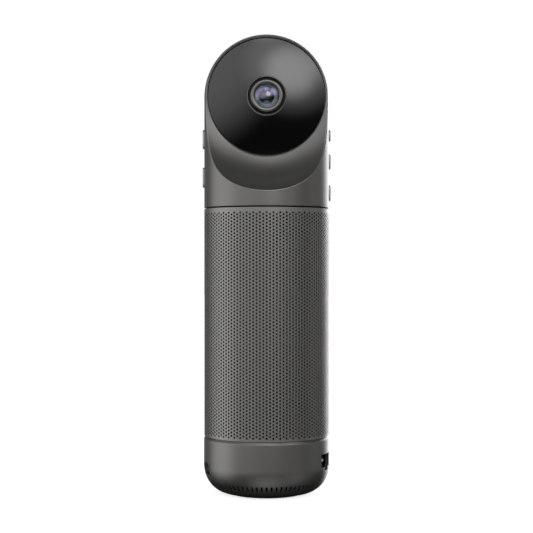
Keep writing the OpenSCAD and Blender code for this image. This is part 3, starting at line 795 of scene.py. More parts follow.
class Palette:
    """Makes each finish's material once."""

    def __init__(self, effects: Effects) -> None:
        """Keeps the shared effects that the materials use."""
        self.effects = effects
        self.made: dict[str, bpy.types.Material] = {}

    def material(self, finish: Finish) -> bpy.types.Material:
        """Makes a finish's material, or finds it if it is made.

        Args:
            finish: The finish.

        Returns:
            Its material.
        """
        if finish.name not in self.made:
            self.made[finish.name] = self.build(finish)
        return self.made[finish.name]

    def build(self, finish: Finish) -> bpy.types.Material:
        """Lays out a finish's nodes.

        Args:
            finish: The finish.

        Returns:
            A new material.
        """
        material = bpy.data.materials.new(finish.name)
        material.use_nodes = True
        graph = Graph(material.node_tree)
        shader = graph.add("ShaderNodeBsdfPrincipled")
        graph.link(shader.outputs[0], graph.add("ShaderNodeOutputMaterial").inputs["Surface"])
        plain = {
            "Metallic": finish.metal,
            "IOR": finish.ior,
            "Specular IOR Level": finish.gloss,
            "Specular Tint": (*finish.tint, 1.0),
            "Transmission Weight": finish.clear,
            "Coat Weight": finish.coat,
        }
        for socket, value in plain.items():
            shader.inputs[socket].default_value = value
        effect = graph.add("ShaderNodeGroup", node_tree=self.effects.group(finish.pattern))
        effect.inputs["Scale"].default_value = finish.scale
        blend = graph.add("ShaderNodeMix", data_type="RGBA")
        blend.inputs["A"].default_value = (*finish.colour, 1.0)
        blend.inputs["B"].default_value = (*finish.second, 1.0)
        graph.link(effect.outputs["Mask"], blend.inputs["Factor"])
        graph.link(blend.outputs["Result"], shader.inputs["Base Color"])
        low, high = finish.rough
        rough = graph.math("MULTIPLY_ADD", effect.outputs["Mask"], high - low, low)
        graph.link(rough, shader.inputs["Roughness"])
        if finish.bump:
            relief = graph.add("ShaderNodeBump")
            relief.inputs["Strength"].default_value = 1.0
            relief.inputs["Distance"].default_value = finish.bump
            graph.link(effect.outputs["Height"], relief.inputs["Height"])
            graph.link(relief.outputs["Normal"], shader.inputs["Normal"])
        return material

    def dress(self, piece: Piece, finish: Finish) -> None:
        """Gives a whole piece one finish."""
        piece.data.materials.clear()
        piece.data.materials.append(self.material(finish))


@dataclass
class Bench:
    """What every sub-assembly is given: the palette, and how a finished piece is handed over."""

    palette: Palette

    def hand_over(self, piece: Piece, finish: Finish, body: str, slot: str, *stands_for: str) -> None:
        """Dresses a piece, hangs it on its body and reports it.

        Args:
            piece: The finished piece.
            finish: Its finish.
            body: The CAD body that it rides on.
            slot: The record's material slot. It is not used.
            stands_for: The CAD nodes that it replaces.
        """
        self.palette.dress(piece, finish)
        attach(piece, body)
        if stands_for:
            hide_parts(*stands_for)
        LOG.info("%s: %d faces on %s", piece.name, len(piece.data.polygons), body)


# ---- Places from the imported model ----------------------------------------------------


@dataclass(frozen=True)
class Layout:
    """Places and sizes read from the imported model."""

    tower_r: float
    head_z: float
    dome_z: float
    lens_z: float
    plate_r: float
    plate_front: float
    pocket_floor: float
    bezel_r: float
    bezel_front: float
    barrel_r: float
    barrel_front: float
    glass_r: float
    glass_back: float
    grille_low: float
    grille_high: float
    base_r: float
    base_low: float
    base_top: float
    seam: ClassVar[float] = 0.3 * MM

    @classmethod
    def read(cls) -> "Layout":
        """Reads the boxes of the nodes that the looks are built on.

        Returns:
            The layout.
        """
        head_low, head_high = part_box("head_shell")
        plate_low, plate_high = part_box("lens_plate")
        bezel_low, bezel_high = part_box("lens_bezel")
        barrel_low, barrel_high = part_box("lens_barrel")
        glass_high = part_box("front_element")[1]
        grille_low, grille_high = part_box("speaker_grille")
        base_low, base_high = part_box("base_shell")
        return cls(
            tower_r=grille_high.x,
            head_z=head_low.z,
            dome_z=head_high.z - grille_high.x,
            lens_z=(plate_low.z + plate_high.z) / 2,
            plate_r=(plate_high.z - plate_low.z) / 2,
            plate_front=-plate_low.y,
            pocket_floor=-plate_high.y,
            bezel_r=bezel_high.x,
            bezel_front=-bezel_low.y,
            barrel_r=barrel_high.x,
            barrel_front=-barrel_low.y,
            glass_r=glass_high.x,
            glass_back=-glass_high.y,
            grille_low=grille_low.z,
            grille_high=grille_high.z,
            base_r=base_high.x,
            base_low=base_low.z,
            base_top=grille_low.z - cls.seam,
        )


# ---- Head ----------------------------------------------------------------------------


@dataclass
class HeadShell:
    """The head's shell: a dome on a cylinder, scooped out round the lens plate.

    It is one grid wrapped round the lens axis. Its rows run from the edge of the camera's
    hole over the pocket's floor and wall, along the scoop's arc, over the rim and back
    over the dome to the lower edge.
    """

    layout: Layout
    bench: Bench
    plate_gap: float = 0.35 * MM
    hole_r: float = 24 * MM
    rim_forward: float = 9 * MM
    flare_angle: float = math.radians(21)
    flare_ahead: float = 3.5 * MM
    pocket_edge: float = 0.2 * MM
    rim_fillet: float = 0.75 * MM
    lower_edge: float = 0.35 * MM
    wall: float = 0.5 * MM
    columns: int = 288
    scoop_rows: int = 28
    fillet_rows: int = 6
    outer_rows: int = 60
    outer_samples: int = 400
    least_skew: float = 0.3
    fillet_share: float = 0.45
    sweep: float = 0.35
    arc_step: float = 1e-4

    @property
    def pocket_r(self) -> float:
        """Radius of the pocket that the lens plate sits in."""
        return self.layout.plate_r + self.plate_gap

    def core(self, points: np.ndarray) -> np.ndarray:
        """For each point, the middle of the dome or of the cylinder's slice that it is on."""
        middle = np.zeros_like(points)
        middle[..., 2] = np.minimum(points[..., 2], self.layout.dome_z)
        return middle

    def on_head(self, points: np.ndarray) -> np.ndarray:
        """Projects points onto the dome and the cylinder below it."""
        core = self.core(points)
        away = points - core
        return core + away * (self.layout.tower_r / np.linalg.norm(away, axis=-1, keepdims=True))

    def outside(self, points: np.ndarray) -> np.ndarray:
        """Distance of points outside the head's form."""
        return np.linalg.norm(points - self.core(points), axis=-1) - self.layout.tower_r

    def in_space(self, side: np.ndarray, forward: np.ndarray, turn: np.ndarray) -> np.ndarray:
        """Turns pairs of side and forward round the lens axis into points."""
        up = self.layout.lens_z + side * np.sin(turn)
        return np.stack([side * np.cos(turn), -forward, up], axis=-1)

    def rows(self) -> list[np.ndarray]:
        """Works out the grid's rows, each with one point for every column.

        Returns:
            The rows from the camera's hole to the lower edge.
        """
        turn = np.linspace(-math.pi / 2, 1.5 * math.pi, self.columns + 1)
        ahead = self.layout.tower_r + self.flare_ahead
        bow = (ahead - self.rim_forward) / math.cos(self.flare_angle)
        side = self.pocket_r - bow * math.sin(self.flare_angle)
        start = self.flare_angle - math.pi / 2

        def on_arc(angle: np.ndarray) -> np.ndarray:
            """Points of the scoop at an angle of its arc."""
            return self.in_space(side + bow * np.cos(angle), ahead + bow * np.sin(angle), turn)

        inner, outer = np.full_like(turn, start), np.zeros_like(turn)
        for _ in range(HALVINGS):
            middle = (inner + outer) / 2
            within = self.outside(on_arc(middle)) < 0
            inner = np.where(within, middle, inner)
            outer = np.where(within, outer, middle)
        edge = inner
        rim = on_arc(edge)

        along_rim = np.roll(rim[:-1], -1, 0) - np.roll(rim[:-1], 1, 0)
        along_rim = np.vstack([along_rim, along_rim[:1]])
        along_rim /= np.linalg.norm(along_rim, axis=-1, keepdims=True)
        along_arc = on_arc(edge + self.arc_step) - rim
        along_arc /= np.linalg.norm(along_arc, axis=-1, keepdims=True)
        skew = np.sqrt(1 - np.sum(along_rim * along_arc, -1) ** 2)
        back = self.rim_fillet / np.maximum(skew, self.least_skew) / bow
        back = np.minimum(back, self.fillet_share * (edge - start))

        rows = self.pocket_rows(turn)
        first = start + self.pocket_edge / bow
        for i in range(1, self.scoop_rows + 1):
            rows.append(on_arc(first + (edge - back - first) * (i / self.scoop_rows)))
        outside_rows, after = self.outer_curves(turn, rim, along_rim)
        before = rows[-1]
        for i in range(1, self.fillet_rows):
            t = i / self.fillet_rows
            rows.append(before * (1 - t) ** 2 + rim * 2 * t * (1 - t) + after * t**2)
        return rows + outside_rows

    def pocket_rows(self, turn: np.ndarray) -> list[np.ndarray]:
        """Works out the rows over the pocket's floor, up its wall and over its edge.

        Args:
            turn: Angle of each column round the lens.

        Returns:
            The rows from the camera's hole outwards.
        """
        floor, lip, wall = self.layout.pocket_floor, self.rim_forward, self.pocket_r
        edge, angle = self.pocket_edge, self.flare_angle
        shape = [
            (self.hole_r, floor),
            ((self.hole_r + wall) / 2, floor),
            (wall - 0.3 * MM, floor),
            (wall, floor + 0.02 * MM),
            (wall, (floor + lip) / 2),
            (wall, lip - edge),
            (wall + 0.3 * edge, lip - 0.3 * edge),
            (wall + edge * math.cos(angle), lip + edge * math.sin(angle)),
        ]
        return [self.in_space(np.full_like(turn, r), np.full_like(turn, f), turn) for r, f in shape]

    def outer_curves(self, turn: np.ndarray, rim: np.ndarray, along_rim: np.ndarray) -> tuple:
        """Curves that leave the rim square to it and sweep down to the lower edge.

        Args:
            turn: Angle of each column round the lens.
            rim: The rim's points.
            along_rim: The rim's direction at each point.

        Returns:
            The rows from the rim's fillet to the lower edge, and the fillet's last row.
        """
        low, r = self.layout.head_z, self.layout.tower_r
        azimuth = turn + math.pi / 2
        foot = np.stack([r * np.sin(azimuth), -r * np.cos(azimuth), np.full_like(turn, low)], axis=-1)
        outwards = (rim - self.core(rim)) / r
        square = np.cross(along_rim, outwards)
        to_lens = np.array([0, 0, self.layout.lens_z]) - rim
        square *= np.where(np.sum(square * to_lens, -1) > 0, -1.0, 1.0)[:, None]
        reach = self.sweep * np.linalg.norm(foot - rim, axis=-1, keepdims=True)
        t = np.linspace(0, 1, self.outer_samples)[:, None, None]
        curve = self.on_head(rim * (1 - t) ** 2 + (rim + square * reach) * 2 * t * (1 - t) + foot * t**2)
        chords = np.linalg.norm(np.diff(curve, axis=0), axis=-1)
        length = np.vstack([np.zeros(len(turn)), np.cumsum(chords, 0)])
        rows = []
        for share in np.linspace(0, 1, self.outer_rows + 1):
            wanted = self.rim_fillet + (length[-1] - self.lower_edge - self.rim_fillet) * share
            rows.append(np.array([
                [np.interp(w, length[:, c], curve[:, c, k]) for k in range(3)] for c, w in enumerate(wanted)
            ]))
        after = rows[0]
        for inwards, lift in ((0.3, 0.3), (1.0, 0.0)):
            row = foot * (1 - inwards * self.lower_edge / r)
            row[:, 2] = low + lift * self.lower_edge
            rows.append(row)
        return rows, after

    def build(self, openings: Sequence[Piece]) -> None:
        """Builds the shell, cuts the keys' openings in it and hands it over.

        Args:
            openings: Cutters for the keys' openings.
        """
        rows = self.rows()
        put_down()
        bpy.ops.mesh.primitive_grid_add(x_subdivisions=self.columns, y_subdivisions=len(rows) - 1, size=1)
        shell = named("head_shell_painted")
        lay_out(shell, np.array(rows))
        weld(shell)
        rearmost = max(shell.data.polygons, key=lambda p: p.center.y)
        face_towards(shell, rearmost, Vector((0, 1, 0)))
        modify(shell, "SOLIDIFY", thickness=self.wall, offset=-1.0)
        for opening in openings:
            cut(shell, opening)
        smooth(shell, 32)
        self.bench.hand_over(shell, PAINT, "head", "head_paint", "head_shell")


@dataclass
class LensGroup:
    """The lens plate, the ring in it, the barrel and its glass."""

    layout: Layout
    bench: Bench
    plate_t: float = 2.4 * MM
    plate_edge: float = 0.25 * MM
    ring_wall: float = 0.65 * MM
    moat_depth: float = 2.1 * MM
    moat_floor: float = 1.2 * MM
    retainer_r: float = 4.45 * MM
    clearance: float = 0.05 * MM
    land_w: float = 0.5 * MM
    plate_steps: int = 26
    fine: int = 192

    def turn(self, name: str, outline: Sequence[Pair], steps: int = 128) -> Piece:
        """Turns an outline about the lens axis."""
        return smooth(turned(name, outline, Axis.LENS, self.layout.lens_z, steps), 40)

    def build(self) -> None:
        """Builds the group from the plate inwards."""
        self.plate()
        self.ring()
        self.barrel()
        self.glass()

    def plate(self) -> None:
        """The domed gloss plate, with a rounded rim and a hole for the ring."""
        lay = self.layout
        hole = lay.bezel_r + self.clearance
        bow = self.cap_radius(hole, lay.pocket_floor + self.plate_t)

        def front(r: float) -> float:
            """Forward place of the plate's front at a distance from the lens axis."""
            return lay.plate_front + math.sqrt(bow**2 - r**2) - math.sqrt(bow**2 - hole**2)

        steps = self.plate_steps
        radii = [hole + (lay.plate_r - hole) * i / steps for i in range(steps + 1)]
        outline = [(r, front(r)) for r in radii]
        back = [(r, front(r) - self.plate_t) for r in (lay.plate_r, (lay.plate_r + hole) / 2, hole)]
        corners = {0: 0.1 * MM, steps: self.plate_edge}
        plate = self.turn("lens_plate_gloss", rounded(outline + back, corners), self.fine)
        self.bench.hand_over(plate, GLOSS_BLACK, "head", "lens_gloss", "lens_plate")

    def cap_radius(self, hole: float, edge_forward: float) -> float:
        """Works out the radius of the plate's dome.

        Args:
            hole: Radius of the plate's hole.
            edge_forward: Forward place of its rim.

        Returns:
            The radius of a dome through the hole's edge and the rim.
        """
        low, high = self.layout.plate_r, 1.0
        for _ in range(HALVINGS):
            middle = (low + high) / 2
            drop = math.sqrt(middle**2 - hole**2) - math.sqrt(middle**2 - self.layout.plate_r**2)
            if drop > self.layout.plate_front - edge_forward:
                low = middle
            else:
                high = middle
        return low

    def ring(self) -> None:
        """The metal ring round the moat, and the moat's floor."""
        lay = self.layout
        top, outer = lay.bezel_front, lay.bezel_r
        inner = outer - self.ring_wall
        floor = top - self.moat_depth
        back = floor - self.moat_floor
        outline = [
            (outer, back),
            (outer, top),
            (inner + 0.15 * MM, top),
            (inner, top - 0.3 * MM),
            (inner, back),
        ]
        ring = self.turn("lens_ring", rounded(outline, {1: 0.12 * MM, 2: 0.1 * MM}), self.fine)
        self.bench.hand_over(ring, RING_METAL, "head", "bezel_metal", "lens_bezel")
        moat = [
            (lay.barrel_r + 0.06 * MM, back),
            (inner - 0.02 * MM, back),
            (inner - 0.02 * MM, floor + 0.5 * MM),
            (inner - 0.35 * MM, floor),
            (lay.barrel_r + 0.35 * MM, floor),
            (lay.barrel_r + 0.06 * MM, floor + 0.3 * MM),
        ]
        well = self.turn("lens_moat", rounded(moat, {3: 0.2 * MM, 4: 0.2 * MM}))
        self.bench.hand_over(well, MOAT_BLACK, "head", "groove_black")

    def barrel(self) -> None:
        """The barrel, with a crowned front ring, and the retainer seen through the glass."""
        lay = self.layout
        back = -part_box("lens_barrel")[1].y
        front, r, bore = lay.barrel_front, lay.barrel_r, lay.glass_r + self.clearance
        seat = lay.glass_back - self.clearance
        outline = [
            (r, back),
            (r, front - 1.0 * MM),
            (r - 0.2 * MM, front - 0.4 * MM),
            (r - 0.7 * MM, front - 0.06 * MM),
            (r - 1.5 * MM, front),
            (bore + 0.45 * MM, front - 0.15 * MM),
            (bore, front - 0.75 * MM),
            (bore, seat),
            (bore - 0.4 * MM, seat - 0.3 * MM),
            (bore - 0.4 * MM, back),
        ]
        corners = {**dict.fromkeys(range(1, 5), 0.3 * MM), 5: 0.18 * MM}
        barrel = self.turn("lens_barrel_turned", rounded(outline, corners), self.fine)
        self.bench.hand_over(barrel, BARREL_METAL, "head", "barrel_metal", "lens_barrel")
        retainer = [
            (bore - 0.05 * MM, seat - 0.1 * MM),
            (self.retainer_r, seat - 1.5 * MM),
            (self.retainer_r, seat - 2.3 * MM),
            (bore - 0.42 * MM, seat - 1.4 * MM),
        ]
        cone = self.turn("lens_retainer", rounded(retainer, {1: 0.15 * MM}))
        # The retainer's pale blue-grey is painted light.
        self.bench.hand_over(cone, RETAINER_PAINTED_LIGHT, "head", "barrel_metal")
        tube_in, tube_out = self.retainer_r + self.clearance + 0.9 * MM, bore - 0.5 * MM
        tube_front, tube_back = seat - 2.6 * MM, back + 1.0 * MM
        inside = self.turn("lens_tube", [
            (tube_out, tube_front), (tube_in, tube_front), (tube_in, tube_back), (tube_out, tube_back)
        ])
        self.bench.hand_over(inside, MOAT_BLACK, "head", "barrel_metal")

    def element(
        self, name: str, node: str, dome: float, thick: float, finish: Finish, slot: str
    ) -> None:
        """A lens element with a domed front and a hollow back.

        Args:
            name: The piece's name.
            node: The CAD node that it stands for.
            dome: Radius of the front's dome.
            thick: Thickness of the glass at its middle.
            finish: Its glass.
            slot: The record's material slot.
        """
        low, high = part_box(node)
        r, back, front = high.x, -high.y, -low.y
        centre = (0.0, front - dome)
        within = dome - thick
        land = r - self.land_w
        sweep, under = (
            math.degrees(math.asin(min(a / b, 1.0))) for a, b in ((r, dome), (land, within))
        )
        cap = arc(centre, dome, 90 - sweep, 90, 20)
        hollow = arc(centre, within, 90, 90 - under, 16)
        outline = [(r, back), *cap[:-1], (0.0, front), (0.0, front - thick), *hollow[1:]]
        if hollow[-1][1] > back + 0.2 * MM:
            outline.append((land, back))
        glass = self.turn(name, outline, 96)
        self.bench.hand_over(glass, finish, "head", slot, node)

    def glass(self) -> None:
        """The three elements of the lens."""
        self.element("front_glass", "front_element", 11.5 * MM, 1.1 * MM, FRONT_GLASS, "coated_glass")
        self.element("second_glass", "second_element", 9 * MM, 1.6 * MM, SECOND_GLASS, "inner_glass")
        self.element("rear_glass", "rear_element", 8 * MM, 1.2 * MM, INNER_GLASS, "inner_glass")


@dataclass
class KeySet:
    """The five keys in the sides of the head."""

    layout: Layout
    bench: Bench
    gap: float = 0.2 * MM
    width: float = 5 * MM
    flange_out: float = 1.2 * MM
    flange_t: float = 0.8 * MM
    flange_reach: float = 1 * MM
    edge: float = 0.8 * MM
    facets: int = 40
    names: tuple[str, ...] = (
        "key_left_upper", "key_left_lower", "key_right_upper", "key_right_middle", "key_right_lower"
    )

    def openings(self) -> list[Piece]:
        """Models the cutters of the keys' openings.

        Returns:
            A cutter for each key.
        """
        made = []
        for name in self.names:
            low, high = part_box(name)
            length = high.z - low.z - 2 * self.flange_reach + 2 * self.gap
            side = 1 if high.x > 0 else -1
            cutter = pill(name + "_cutter", self.width + 2 * self.gap, length, 8 * MM, 32)
            middle = (side * self.layout.tower_r, 0, (low.z + high.z) / 2)
            made.append(place(cutter, Matrix.Translation(middle)))
        return made

    def build(self) -> None:
        """Builds each key as a capped bar on a wider flange."""
        for name in self.names:
            low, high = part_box(name)
            side = 1 if high.x > 0 else -1
            inner, outer = (low.x, high.x) if side > 0 else (high.x, low.x)
            flange_length = high.z - low.z
            middle = (low.z + high.z) / 2
            depth = abs(outer - inner)
            cap_length = flange_length - 2 * self.flange_reach
            cap = pill(name + "_cap", self.width, cap_length, depth, self.facets)
            soften(cap, self.edge, 4, 60, "MITER_SHARP")
            place(cap, Matrix.Translation(((inner + outer) / 2, 0, middle)))
            flange_width = self.width + 2 * self.flange_out
            flange = pill(name + "_flange", flange_width, flange_length, self.flange_t, self.facets)
            place(flange, Matrix.Translation((inner + side * self.flange_t / 2, 0, middle)))
            key = flatten(smooth(join(name + "_cap", [flange, cap]), 35))
            self.bench.hand_over(key, KEY_PAINT, name, "key_paint", name)


# ---- Speaker column ------------------------------------------------------------------


@dataclass
class Grille:
    """The perforated sheet round the speaker, made of one punched tile.

    A tile is one hole with eight faces round it. Holes stand in columns, and every second
    column is half a step up and one hole shorter.
    """

    layout: Layout
    bench: Bench
    thickness: float = 0.8 * MM
    holes_round: int = 120
    tall_holes: int = 67
    hole_step: float = 2 * MM
    hole_r: float = 0.68 * MM
    first_hole: float = 1.95 * MM
    hole_sides: int = 8
    skin_facing: float = 0.9
    quarters: int = 4

    @property
    def plain_low(self) -> float:
        """Height of the plain band below the lowest tiles."""
        return self.first_hole - self.hole_step / 2

    def build(self) -> None:
        """Builds the four quarters and hands them over."""
        columns = self.holes_round // self.quarters
        for quarter in range(self.quarters):
            sheet = self.flat_sheet(f"grille_quarter_{quarter + 1}", columns)
            self.wrap(sheet, quarter)
            modify(sheet, "SOLIDIFY", thickness=self.thickness, offset=-1.0)
            self.shade(sheet)
            self.bench.hand_over(sheet, GRILLE_PAINT, "column", "grille_paint", "speaker_grille")

    def tile(self, name: str, width: float) -> Piece:
        """Models one hole in its tile, flat in X and Y.

        Args:
            name: The tile's name.
            width: Its width.

        Returns:
            The tile.
        """
        put_down()
        bpy.ops.mesh.primitive_circle_add(
            vertices=self.hole_sides, radius=self.hole_r, fill_type="NOTHING"
        )
        piece = named(name)
        out = width / 2 / self.hole_r
        up = self.hole_step / width
        with editing(piece):
            bpy.ops.mesh.extrude_edges_move()
            bpy.ops.transform.resize(value=(out, out, 1))
            far = 0.9 * width / 2
            choose(
                piece, "verts",
                lambda v: v.co.length > far and min(abs(v.co.x), abs(v.co.y)) > WELD,
            )
            bpy.ops.transform.resize(value=(math.sqrt(2), math.sqrt(2), 1))
            choose(piece, "verts", lambda v: v.co.length > far)
            bpy.ops.transform.resize(value=(1, up, 1))
        return piece

    def flat_sheet(self, name: str, columns: int) -> Piece:
        """A flat quarter, its height along Y, from the lowest tile's edge up.

        Args:
            name: The piece's name.
            columns: Columns of holes in the sheet.

        Returns:
            The sheet, which starts with a tall column at X = 0.
        """
        width = 2 * math.pi * self.layout.tower_r / self.holes_round
        strips = []
        for tall in (True, False):
            count = self.tall_holes if tall else self.tall_holes - 1
            strip = self.tile(f"{name}_{tall}", width)
            repeated(strip, count, (0, self.hole_step, 0))
            lift = self.hole_step / 2 if tall else self.hole_step
            place(strip, Matrix.Translation((0 if tall else width, lift, 0)))
            if not tall:
                self.extend(strip, 0.0, self.tall_holes * self.hole_step)
            strips.append(strip)
        sheet = join(name, strips)
        repeated(sheet, columns // 2, (2 * width, 0, 0))
        height = self.layout.grille_high - self.layout.grille_low
        self.extend(sheet, -self.plain_low, height - self.plain_low)
        with editing(sheet):
            bpy.ops.mesh.remove_doubles(threshold=WELD)
        return sheet

    @staticmethod
    def extend(sheet: Piece, low: float, high: float) -> None:
        """Extrudes a flat sheet's lowest and highest edges.

        Args:
            sheet: The sheet.
            low: Height to which its lowest edges go.
            high: Height to which its highest edges go.
        """
        heights = [v.co.y for v in sheet.data.vertices]
        for level, target in ((min(heights), low), (max(heights), high)):
            with editing(sheet):
                choose(sheet, "edges", lambda e: all(abs(v.co.y - level) < WELD for v in e.verts))
                bpy.ops.mesh.extrude_edges_move(TRANSFORM_OT_translate={"value": (0, target - level, 0)})

    def wrap(self, sheet: Piece, quarter: int) -> None:
        """Wraps a flat sheet round the tower, a tall column at the front's middle.

        Args:
            sheet: The flat sheet.
            quarter: Which quarter it is, counted from the front.
        """
        r = self.layout.tower_r
        flat = coordinates(sheet)
        azimuth = flat[:, 0] / r + quarter * math.pi / 2
        z = flat[:, 1] + self.layout.grille_low + self.plain_low
        lay_out(sheet, np.stack([r * np.sin(azimuth), -r * np.cos(azimuth), z], axis=-1))
        face = sheet.data.polygons[0]
        face_towards(sheet, face, Vector((face.center.x, face.center.y, 0)))

    def shade(self, sheet: Piece) -> None:
        """Gives the sheet's two skins a cylinder's normals, so that quarters meet unseen.

        Args:
            sheet: The wrapped sheet.
        """
        smooth(sheet, 30)
        mesh = sheet.data
        normals = np.empty(len(mesh.loops) * 3, np.float32)
        mesh.corner_normals.foreach_get("vector", normals)
        normals = normals.reshape(-1, 3)
        index = np.empty(len(mesh.loops), np.int32)
        mesh.loops.foreach_get("vertex_index", index)
        radial = coordinates(sheet)[index] * (1, 1, 0)
        radial /= np.linalg.norm(radial, axis=-1, keepdims=True)
        facing = np.sum(normals * radial, -1)
        skin = np.abs(facing) > self.skin_facing
        normals[skin] = radial[skin] * np.sign(facing[skin])[:, None]
        mesh.normals_split_custom_set(normals.tolist())


@dataclass
class Sleeve:
    """The black cloth stretched behind the grille."""

    layout: Layout
    bench: Bench
    sides: int = 96
    bands: int = 12
    thickness: float = 0.3 * MM

    def build(self) -> None:
        """Builds the sleeve as a thin tube of cloth."""
        low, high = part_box("acoustic_sleeve")
        radius, height = high.x, high.z - low.z
        put_down()
        bpy.ops.mesh.primitive_cylinder_add(
            vertices=self.sides, radius=radius, depth=height, end_fill_type="NOTHING",
            location=(0, 0, (low.z + high.z) / 2),
        )
        cloth = named("acoustic_cloth")
        with editing(cloth):
            choose(cloth, "edges", lambda e: abs(e.verts[0].co.z - e.verts[1].co.z) > height / 2)
            bpy.ops.mesh.subdivide(number_cuts=self.bands - 1)
        modify(cloth, "SOLIDIFY", thickness=self.thickness, offset=-1.0)
        smooth(cloth, 40)
        self.bench.hand_over(cloth, BLACK_CLOTH, "column", "black_cloth", "acoustic_sleeve")


# ---- Base ----------------------------------------------------------------------------


@dataclass
class Base:
    """The base: its shell with vent slots and socket openings, and its underside."""

    layout: Layout
    bench: Bench
    floor_r: float = 20.1 * MM
    fillet_w: float = 15 * MM
    fillet_h: float = 17.1 * MM
    chamfer_in: float = 0.9 * MM
    chamfer_h: float = 1.5 * MM
    wall: float = 2.2 * MM
    deck_t: float = 2.5 * MM
    spigot_in: float = 0.9 * MM
    spigot_h: float = 1.4 * MM
    spigot_t: float = 2 * MM
    vents: int = 76
    vent_w: float = 1.3 * MM
    vent_l: float = 4.6 * MM
    vent_angle: float = math.radians(40)
    insert_seat_r: float = 5.05 * MM
    boss_r: float = 7.5 * MM
    plate_t: float = 3 * MM
    groove_in: float = 10.2 * MM
    groove_out: float = 11.6 * MM
    groove_h: float = 0.35 * MM
    foot_in: float = 17.4 * MM
    grip: float = 0.3 * MM
    grip_spread: float = 0.8 * MM
    thread_root: float = 3.2 * MM
    thread_crest: float = 2.56 * MM
    thread_pitch: float = 1.27 * MM
    screw_ring: float = 14 * MM
    screw_angles: tuple[float, ...] = (30, 150, 270)
    screw_head_r: float = 2.4 * MM
    screw_head_h: float = 1.6 * MM
    screw_shank_r: float = 1.45 * MM
    screw_socket_r: float = 1.25 * MM
    screw_socket_h: float = 1 * MM
    well_r: float = 2.6 * MM
    well_h: float = 2.5 * MM
    segments: int = 304

    def at_screws(self) -> list[Matrix]:
        """Where the screws stand."""
        out = Matrix.Translation((self.screw_ring, 0, 0))
        return [round_tower(angle) @ out for angle in self.screw_angles]

    def fillet(self, inset: float, steps: int) -> list[Pair]:
        """The rounded lower edge, taken in by an inset."""
        centre = (self.layout.base_r - self.fillet_w, self.layout.base_low + self.fillet_h)
        wide, tall = self.fillet_w - inset, self.fillet_h - inset
        return arc(centre, wide, -90, 0, steps, tall / wide)

    def build(self, mouths: Sequence[Piece]) -> None:
        """Builds the base.

        Args:
            mouths: Cutters for the sockets' openings.
        """
        self.shell(mouths)
        self.underside()
        self.foot()
        self.insert()
        self.screws()

    def shell(self, mouths: Sequence[Piece]) -> None:
        """The painted shell, turned in one piece and then cut.

        Args:
            mouths: Cutters for the sockets' openings.
        """
        lay = self.layout
        top, low, r = lay.base_top, lay.base_low, lay.base_r
        spigot_r, spigot_high = lay.tower_r - self.spigot_in, top + self.spigot_h
        spigot_inner = spigot_r - self.spigot_t
        outline = [(self.floor_r, low), *self.fillet(0, 28)]
        corner = len(outline)
        outline += [
            (r, top - self.chamfer_h),
            (r - self.chamfer_in, top),
            (spigot_r, top),
            (spigot_r, spigot_high),
            (spigot_inner, spigot_high),
            (spigot_inner, top - self.deck_t),
            (r - self.wall, top - self.deck_t - 1 * MM),
            *reversed(self.fillet(self.wall, 10)),
            (self.floor_r, low + self.wall),
        ]
        outline = rounded(outline, {corner: 0.25 * MM, corner + 1: 0.15 * MM})
        shell = turned("base_shell_painted", outline, Axis.TOWER, steps=self.segments)
        for mouth in mouths:
            cut(shell, mouth)
        cut(shell, self.vent_cutters())
        smooth(shell, 28)
        # The base's lighter paint is painted light, standing in for front light.
        self.bench.hand_over(shell, BASE_PAINT_WITH_PAINTED_LIGHT, "column", "base_paint", "base_shell")

    def vent_cutters(self) -> Piece:
        """Models the cutters of the vent slots, which stand square to the rounded edge.

        Returns:
            The cutters, joined.
        """
        lay = self.layout
        r = lay.base_r - self.fillet_w + self.fillet_w * math.cos(self.vent_angle)
        z = lay.base_low + self.fillet_h - self.fillet_h * math.sin(self.vent_angle)
        up, out = math.sin(self.vent_angle) / self.fillet_h, math.cos(self.vent_angle) / self.fillet_w
        tilt = math.atan2(up, out)
        slot = pill("vent_cutter", self.vent_w, self.vent_l, 4 * self.wall, 12)
        place(slot, Matrix.Translation((r, 0, z)) @ Matrix.Rotation(tilt, 4, "Y"))
        directions = [-90 + i * 360 / self.vents for i in range(self.vents)]
        return join("vent_cutters", copied(slot, [round_tower(d) for d in directions]))

    def underside(self) -> None:
        """The plate that closes the base, with a raised boss and screw wells."""
        low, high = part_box("base_plate")
        outline = [
            (self.insert_seat_r, low.z + 0.4 * MM),
            (5.45 * MM, low.z),
            (self.groove_in, low.z),
            (self.groove_in + self.grip, low.z + self.groove_h),
            (self.groove_out - self.grip, low.z + self.groove_h),
            (self.groove_out, low.z),
            (high.x, low.z),
            (high.x, low.z + self.plate_t),
            (self.boss_r, low.z + self.plate_t),
            (self.boss_r, high.z),
            (self.insert_seat_r, high.z),
        ]
        plate = turned("base_plate_moulded", rounded(outline, {6: 0.3 * MM}), Axis.TOWER, steps=128)
        bottom = -1 * MM
        well = [(0, bottom), (self.well_r, bottom), (self.well_r, self.well_h), (0, self.well_h)]
        for cutter in copied(turned("well", well, Axis.TOWER, steps=32), self.at_screws()):
            cut(plate, cutter)
        smooth(plate, 30)
        self.bench.hand_over(plate, UNDERSIDE, "column", "base_plate_plastic", "base_plate")

    def foot(self) -> None:
        """The rubber ring that the tower stands on, with two grip grooves."""
        low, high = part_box("foot_ring")
        inner, outer = self.foot_in, high.x
        middle = (inner + outer) / 2
        outline = [(inner, high.z), (inner, low.z)]
        for r in (middle - self.grip_spread, middle + self.grip_spread):
            outline += [(r - self.grip, low.z), (r, low.z + self.grip), (r + self.grip, low.z)]
        outline += [(outer, low.z), (outer, high.z)]
        outline = rounded(outline, {1: 0.2 * MM, 8: 0.2 * MM})
        foot = turned("foot_ring_rubber", outline, Axis.TOWER, steps=128)
        smooth(foot, 35)
        self.bench.hand_over(foot, FOOT_RUBBER, "column", "foot_rubber", "foot_ring")

